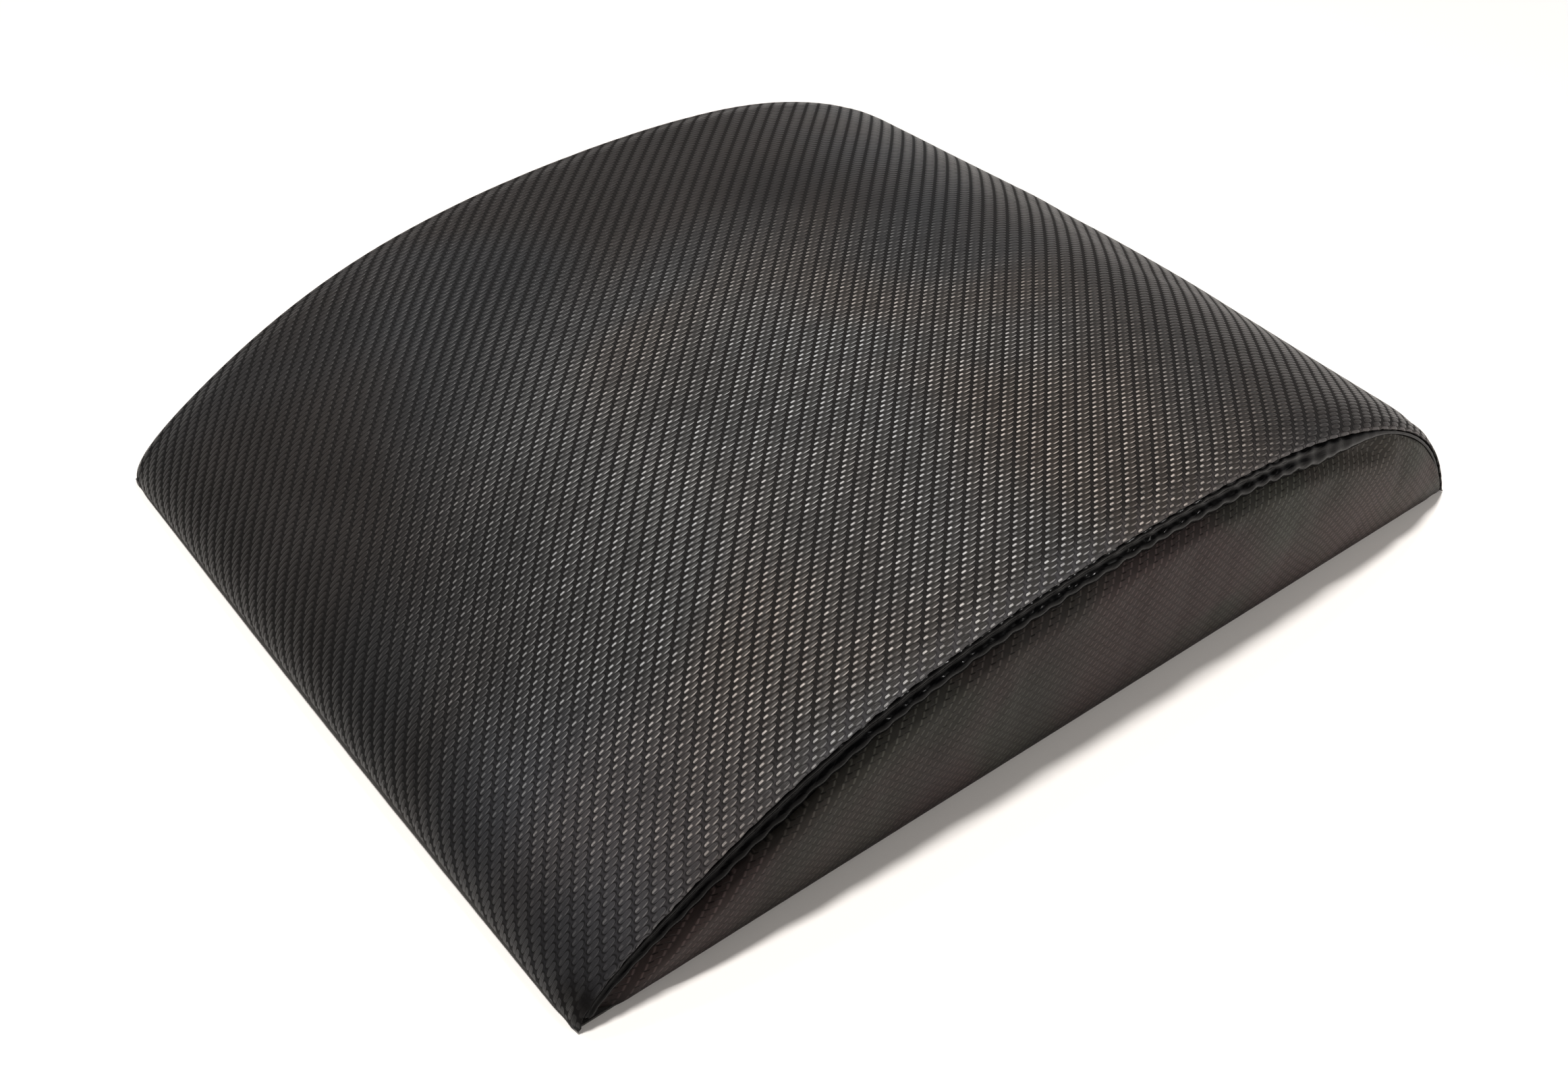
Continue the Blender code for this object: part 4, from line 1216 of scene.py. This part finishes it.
def rim_of(axis, sign):
    """Edges between a flat side and what isn't flat along that axis."""

    def test(edge):
        sides = [face.normal[axis] * sign for face in edge.link_faces]
        return any(side > 0.9 for side in sides) and not all(abs(side) > 0.9 for side in sides)

    return test


def bevelled(piece, test, width, segments=2):
    pick(piece, "EDGE", test)
    bpy.ops.mesh.bevel(offset=width, offset_type="OFFSET", segments=segments, affect="EDGES")
    done()


def rims(piece, axis, widths, segments=2):
    """Bevels round the flat sides: widths holds each side's sign and width."""
    for sign, width in widths.items():
        bevelled(piece, rim_of(axis, sign), width, segments)


def recessed(piece, test, insets, push):
    """The faces that pass, set in by each of the insets in turn and pushed along Z."""
    pick(piece, "FACE", test)
    for inset in insets:
        bpy.ops.mesh.inset(thickness=inset, depth=0)
    if push:
        bpy.ops.transform.translate(value=(0, 0, push))
    done()


def joined(name, pieces, crease=35.0):
    alone(*pieces)
    if len(pieces) > 1:
        bpy.ops.object.join()
    made = bpy.context.view_layer.objects.active
    made.name = made.data.name = name
    bpy.ops.object.shade_smooth_by_angle(angle=math.radians(crease))
    return made


def build_coils(scene):
    settings = scene.mat_zip
    nylon = satin_nylon("coil_nylon", scene.mat_finish.coil)
    pitch, radius = settings.tooth_pitch, settings.tooth_radius
    low, high = CHAIN_LOW + radius, CHAIN_HIGH - radius
    reach, leg = 0.1167, 0.0031
    for side, label in ((-1, "front"), (1, "rear")):
        start = -reach + 2 * radius + (0.5 * pitch if side > 0 else 0.0)
        shape = {"vertices": 8, "radius": radius, "fill_type": "NGON", "rotation": (0, side * math.pi / 2, 0)}
        add = bpy.ops.mesh.primitive_circle_add
        tooth = fresh(f"{label}_coil", add, **shape, location=(ZIP_X + side * leg, start, low))
        pick(tooth, "FACE", always)
        head = (ZIP_X + side * (0.00062 + radius), start, (low + high) / 2)
        run = side * leg - (head[0] - ZIP_X)
        bpy.ops.mesh.extrude_region_move(TRANSFORM_OT_translate={"value": (-run, 0, 0)})
        bpy.ops.mesh.spin(steps=5, angle=-side * math.pi, center=head, axis=(0, 1, 0))
        bpy.ops.mesh.extrude_region_move(TRANSFORM_OT_translate={"value": (run, 0.32 * pitch, 0)})
        done()
        face_outwards(tooth.data)
        turns = tooth.modifiers.new("Turns", "ARRAY")
        turns.count = int((2 * reach - 3 * radius) / pitch) - 1
        turns.use_relative_offset = False
        turns.use_constant_offset = True
        turns.constant_offset_displace = (0, pitch, 0)
        bpy.ops.object.modifier_apply(modifier="Turns")
        coil = joined(f"{label}_coil", [tooth], 50.0)
        finish_piece(coil, nylon, "mat", f"zip_coil_{label}")


def build_stops(scene):
    metal = plated("zip_plated_metal", scene.mat_finish.metal, 0.30)
    half = 0.00335
    for side, label in ((1, "left"), (-1, "right")):
        near, far = sorted((side * 0.1170, side * 0.1200))
        clamp = block(f"{label}_stop", (ZIP_X - half, near, CHAIN_LOW), (ZIP_X + half, far, CHAIN_HIGH))
        bevelled(clamp, upright, 0.0006, 3)
        recessed(clamp, facing(2, -1), (0.0004,), 0.0003)
        rims(clamp, 2, {-1: 0.00012, 1: 0.00018})
        clamp = joined(f"{label}_stop", [clamp])
        finish_piece(clamp, metal, "mat", f"zip_stop_{label}")


def build_slider(scene):
    metal = plated("slider_plated_metal", scene.mat_finish.metal, 0.26)
    near, far, half = 0.1032, 0.1142, 0.00445
    web_half, low, high = 0.00015, 0.0050, 0.0087
    parts = []
    for bottom, top, sign, recess in ((0.0045, 0.0053, -1, 0.00018), (0.0084, 0.0092, 1, 0.0001)):
        plate = block("plate", (ZIP_X - half, near, bottom), (ZIP_X + half, far, top))
        bevelled(plate, upright, 0.0017, 4)
        recessed(plate, facing(2, sign), (0.0008, 0.00022), -sign * recess)
        rims(plate, 2, {sign: 0.00016, -sign: 0.00010})
        parts.append(plate)
    web = block("web", (ZIP_X - web_half, near + 0.0002, low), (ZIP_X + web_half, far - 0.0002, high))
    bevelled(web, upright, 0.00006)
    parts.append(web)
    for side in (-1, 1):
        a, b = sorted((ZIP_X + side * half, ZIP_X + side * (half - 0.0008)))
        flange = block("flange", (a, near + 0.0016, low), (b, far - 0.0016, CHAIN_HIGH))
        bevelled(flange, always, 0.00018)
        a, b = sorted((ZIP_X + side * 0.0018, ZIP_X + side * 0.0026))
        lug = block("lug", (a, PIN_AT[1] - 0.0012, PIN_AT[2] - 0.0013), (b, PIN_AT[1] + 0.0012, low))
        bevelled(lug, lambda edge: runs_along(edge, 0) and ends_below(edge, 2, PIN_AT[2]), 0.0011, 5)
        rims(lug, 0, {1: 0.00010, -1: 0.00010})
        parts += [flange, lug]
    pin = rod("pin", 20, 0.0005, 0.0053)
    rims(pin, 0, {1: 0.00015, -1: 0.00015}, 3)
    finish_piece(joined("slider_body", [*parts, pin]), metal, "slider", "zip_slider")


def build_pull(scene):
    metal = plated("pull_plated_metal", scene.mat_finish.metal, 0.24)
    wide, thick, end, shoulder, neck = 0.0026, 0.00045, 0.0150, 0.00525, 0.0015
    x, y, z = PIN_AT
    tab = block("tab", (x - wide, y - end, z - thick), (x + wide, y - shoulder, z + thick))
    pick(tab, "FACE", facing(1, 1))
    bpy.ops.mesh.extrude_region_move(TRANSFORM_OT_translate={"value": (0, shoulder - 0.00115, 0)})
    bpy.ops.transform.resize(value=(neck / wide, 1, 1), center_override=(x, y, z))
    done()
    bevelled(tab, lambda edge: upright(edge) and ends_below(edge, 1, y - end + 0.0001), 0.0013, 5)
    for sign in (1, -1):

        def flat_blade(face, sign=sign):
            return face.normal.z * sign > 0.9 and face.calc_center_median().y < y - 0.005

        recessed(tab, flat_blade, (0.0008, 0.00018), -sign * 0.00016)
        rims(tab, 2, {sign: 0.00009})
    eye = rod("eye", 32, 0.0013, 0.0030)
    for sign in (1, -1):
        recessed(eye, facing(0, sign), (0.00055,), 0)
    pick(eye, "FACE", lambda face: abs(face.normal.x) > 0.9 and len(face.verts) > 8)
    bpy.ops.mesh.bridge_edge_loops()
    done()
    rims(eye, 0, {1: 0.00012, -1: 0.00012})
    finish_piece(joined("pull_tab", [tab, eye]), metal, "pull", "zip_pull")


def kinds_of_ray(tree):
    """Masks of the camera's rays, of mirrored rays, and of those that came through the floor from below."""
    path = node("LightPath", {}, tree)
    mirrored = calc("MAXIMUM", path["Is Glossy Ray"], path["Is Transmission Ray"])
    return path["Is Camera Ray"], mirrored, calc("GREATER_THAN", path["Transparent Depth"], 0.5)


def build_floor(settings):
    """Pale floor, plain white further off to the camera, and seen through from below."""
    floor = fresh("floor", bpy.ops.mesh.primitive_plane_add, size=9.0, location=(0, 0, -0.0001))
    material, shader, place = new_material("pale_floor", 0.15)
    camera_ray, mirrored, from_below = kinds_of_ray(material.node_tree)
    pale = settings.floor_colour
    plain = mixed(noise(place, 3.0, 2.0), pale, scaled(pale, 0.99))
    far_off = node("VectorMath", {0: place}, operation="LENGTH")["Value"]
    shown = calc("MAXIMUM", camera_ray, mirrored * settings.mirrored_level)
    backdrop = shown * eased(far_off, settings.shadow_reach, settings.wall_start)
    seen = calc("MAXIMUM", camera_ray, mirrored)
    feed(shader["Base Color"], mixed(seen, settings.floor_bounce, mixed(backdrop, plain, BLACK)))
    feed(shader["Roughness"], 0.8)
    feed(shader["Emission Color"], mixed(backdrop, BLACK, WHITE))
    feed(shader["Emission Strength"], 1.0)
    behind = node("NewGeometry", {}, material.node_tree)["Backfacing"]
    feed(shader["Alpha"], 1.0 - calc("MAXIMUM", behind, from_below))
    floor.data.materials.append(material)


def build_lamps(settings):
    glint, pale = settings.glint_power, (1.0, 0.98, 0.96)
    aim = Vector((0.0, 0.0, 0.04))
    for name, power, size, place, tint in (
        ("top", settings.key_power, 0.20, (-0.12, 0.07, 1.60), (1.0, 0.97, 0.94)),
        ("back", glint, 0.10, (-0.20, 0.85, 1.28), pale),
        ("back_right", glint, 0.10, (0.53, 0.34, 1.42), pale),
        ("front", glint * 0.8, 0.04, (0.42, -1.02, 0.46), pale),
        ("fill", settings.fill_power, 0.80, (0.70, -1.20, 0.95), (1.0, 0.94, 0.885)),
    ):
        lamp = bpy.data.lights.new(name, "AREA")
        lamp.shape = "DISK"
        lamp.size = size
        lamp.energy = power
        lamp.color = tint
        holder = object_of(name, lamp)
        holder.location = place
        holder.rotation_euler = (aim - Vector(place)).to_track_quat("-Z", "Y").to_euler()


def build_surround(scene, settings):
    """A dim room for the mat, white to the camera, and lit from below for rays through the floor."""
    scene.world = bpy.data.worlds.new("surround")
    scene.world.use_nodes = True
    tree = scene.world.node_tree
    axes = axes_of(node("TexCoord", {}, tree)["Generated"])
    dim = settings.world_level
    shade = (0.04 * dim, 0.04 * dim, 0.045 * dim)
    room = mixed(eased(axes["Z"], 0.05, 0.9), shade, (dim, 0.96 * dim, 0.92 * dim))
    camera_ray, mirrored, from_below = kinds_of_ray(tree)
    under = mixed(eased(axes["X"], -0.8, 0.8), (0.35, 0.34, 0.33), (1.5, 1.45, 1.4))
    low = eased(axes["Z"], 0.16, 0.04) * settings.mirrored_level
    wall = calc("MAXIMUM", camera_ray, mirrored * low)
    back = tree.nodes["Background"].inputs
    feed(back["Color"], mixed(wall, mixed(from_below, room, under), WHITE))
    feed(back["Strength"], 1.0)


def build_stage(scene):
    settings = scene.mat_studio
    build_floor(settings)
    build_lamps(settings)
    build_surround(scene, settings)
    camera = bpy.data.cameras.new("camera")
    camera.lens = settings.lens
    camera.sensor_width = 36.0
    turn = Euler([math.radians(angle) for angle in CAMERA_TURN])
    scene.camera = object_of("camera", camera)
    scene.camera.matrix_world = Matrix.Translation(CAMERA_PLACE) @ turn.to_matrix().to_4x4()
    scene.view_settings.view_transform = "Standard"


class BuildFoam(bpy.types.Operator):
    """Moulded foam wedge inside the cover."""

    bl_idname = "exercise_mat.foam"
    bl_label = "Foam wedge"

    def execute(self, context):
        build_foam(context.scene)
        return {"FINISHED"}


class BuildCover(bpy.types.Operator):
    """Sewn top cover with its rolled shoulders and folded edges."""

    bl_idname = "exercise_mat.cover"
    bl_label = "Top cover"

    def execute(self, context):
        build_cover(context.scene)
        return {"FINISHED"}


class BuildEndPanels(bpy.types.Operator):
    """Padded end panels at both sides."""

    bl_idname = "exercise_mat.end_panels"
    bl_label = "End panels"

    def execute(self, context):
        build_end_panels(context.scene)
        return {"FINISHED"}


class BuildWelts(bpy.types.Operator):
    """Welts along both seams, each with its cord."""

    bl_idname = "exercise_mat.welts"
    bl_label = "Welts and cords"

    def execute(self, context):
        build_welts(context.scene)
        return {"FINISHED"}


class BuildBase(bpy.types.Operator):
    """Base panels, raised over the zip."""

    bl_idname = "exercise_mat.base"
    bl_label = "Base panels"

    def execute(self, context):
        build_base(context.scene)
        return {"FINISHED"}


class BuildZip(bpy.types.Operator):
    """Zip tapes, coils, stops and topstitching."""

    bl_idname = "exercise_mat.zip"
    bl_label = "Zip chain"

    def execute(self, context):
        build_tapes(context.scene)
        build_coils(context.scene)
        build_stops(context.scene)
        build_stitches(context.scene)
        return {"FINISHED"}


class BuildSlider(bpy.types.Operator):
    """Zip slider with its lugs and pin."""

    bl_idname = "exercise_mat.slider"
    bl_label = "Slider"

    def execute(self, context):
        build_slider(context.scene)
        return {"FINISHED"}


class BuildPull(bpy.types.Operator):
    """Pull tab that turns on the slider's pin."""

    bl_idname = "exercise_mat.pull"
    bl_label = "Pull tab"

    def execute(self, context):
        build_pull(context.scene)
        return {"FINISHED"}


class BuildStage(bpy.types.Operator):
    """Floor, lamps, surround and camera."""

    bl_idname = "exercise_mat.stage"
    bl_label = "Stage"

    def execute(self, context):
        build_stage(context.scene)
        return {"FINISHED"}


OPERATORS = (
    BuildFoam,
    BuildCover,
    BuildEndPanels,
    BuildWelts,
    BuildBase,
    BuildZip,
    BuildSlider,
    BuildPull,
    BuildStage,
)


class ExerciseMatPanel(bpy.types.Panel):
    """Steps of the mat in the order that they are built."""

    bl_idname = "VIEW3D_PT_exercise_mat"
    bl_label = "Exercise mat"
    bl_space_type = "VIEW_3D"
    bl_region_type = "UI"
    bl_category = "Exercise mat"

    def draw(self, context):
        for step in OPERATORS:
            self.layout.operator(step.bl_idname)
        for name in SETTINGS_NAMES:
            settings = getattr(context.scene, name)
            box = self.layout.box()
            for prop in settings.__annotations__:
                box.prop(settings, prop)


CLASSES = (*SETTINGS, *OPERATORS, ExerciseMatPanel)


def register():
    for made in CLASSES:
        bpy.utils.register_class(made)
    for name, kind in zip(SETTINGS_NAMES, SETTINGS):
        setattr(bpy.types.Scene, name, PointerProperty(type=kind))


def unregister():
    for name in reversed(SETTINGS_NAMES):
        delattr(bpy.types.Scene, name)
    for made in reversed(CLASSES):
        bpy.utils.unregister_class(made)


def main():
    register()
    steps = bpy.ops.exercise_mat
    steps.foam()
    steps.cover()
    steps.end_panels()
    steps.welts()
    steps.base()
    steps.zip()
    steps.slider()
    steps.pull()
    steps.stage()


if __name__ == "__main__":
    main()
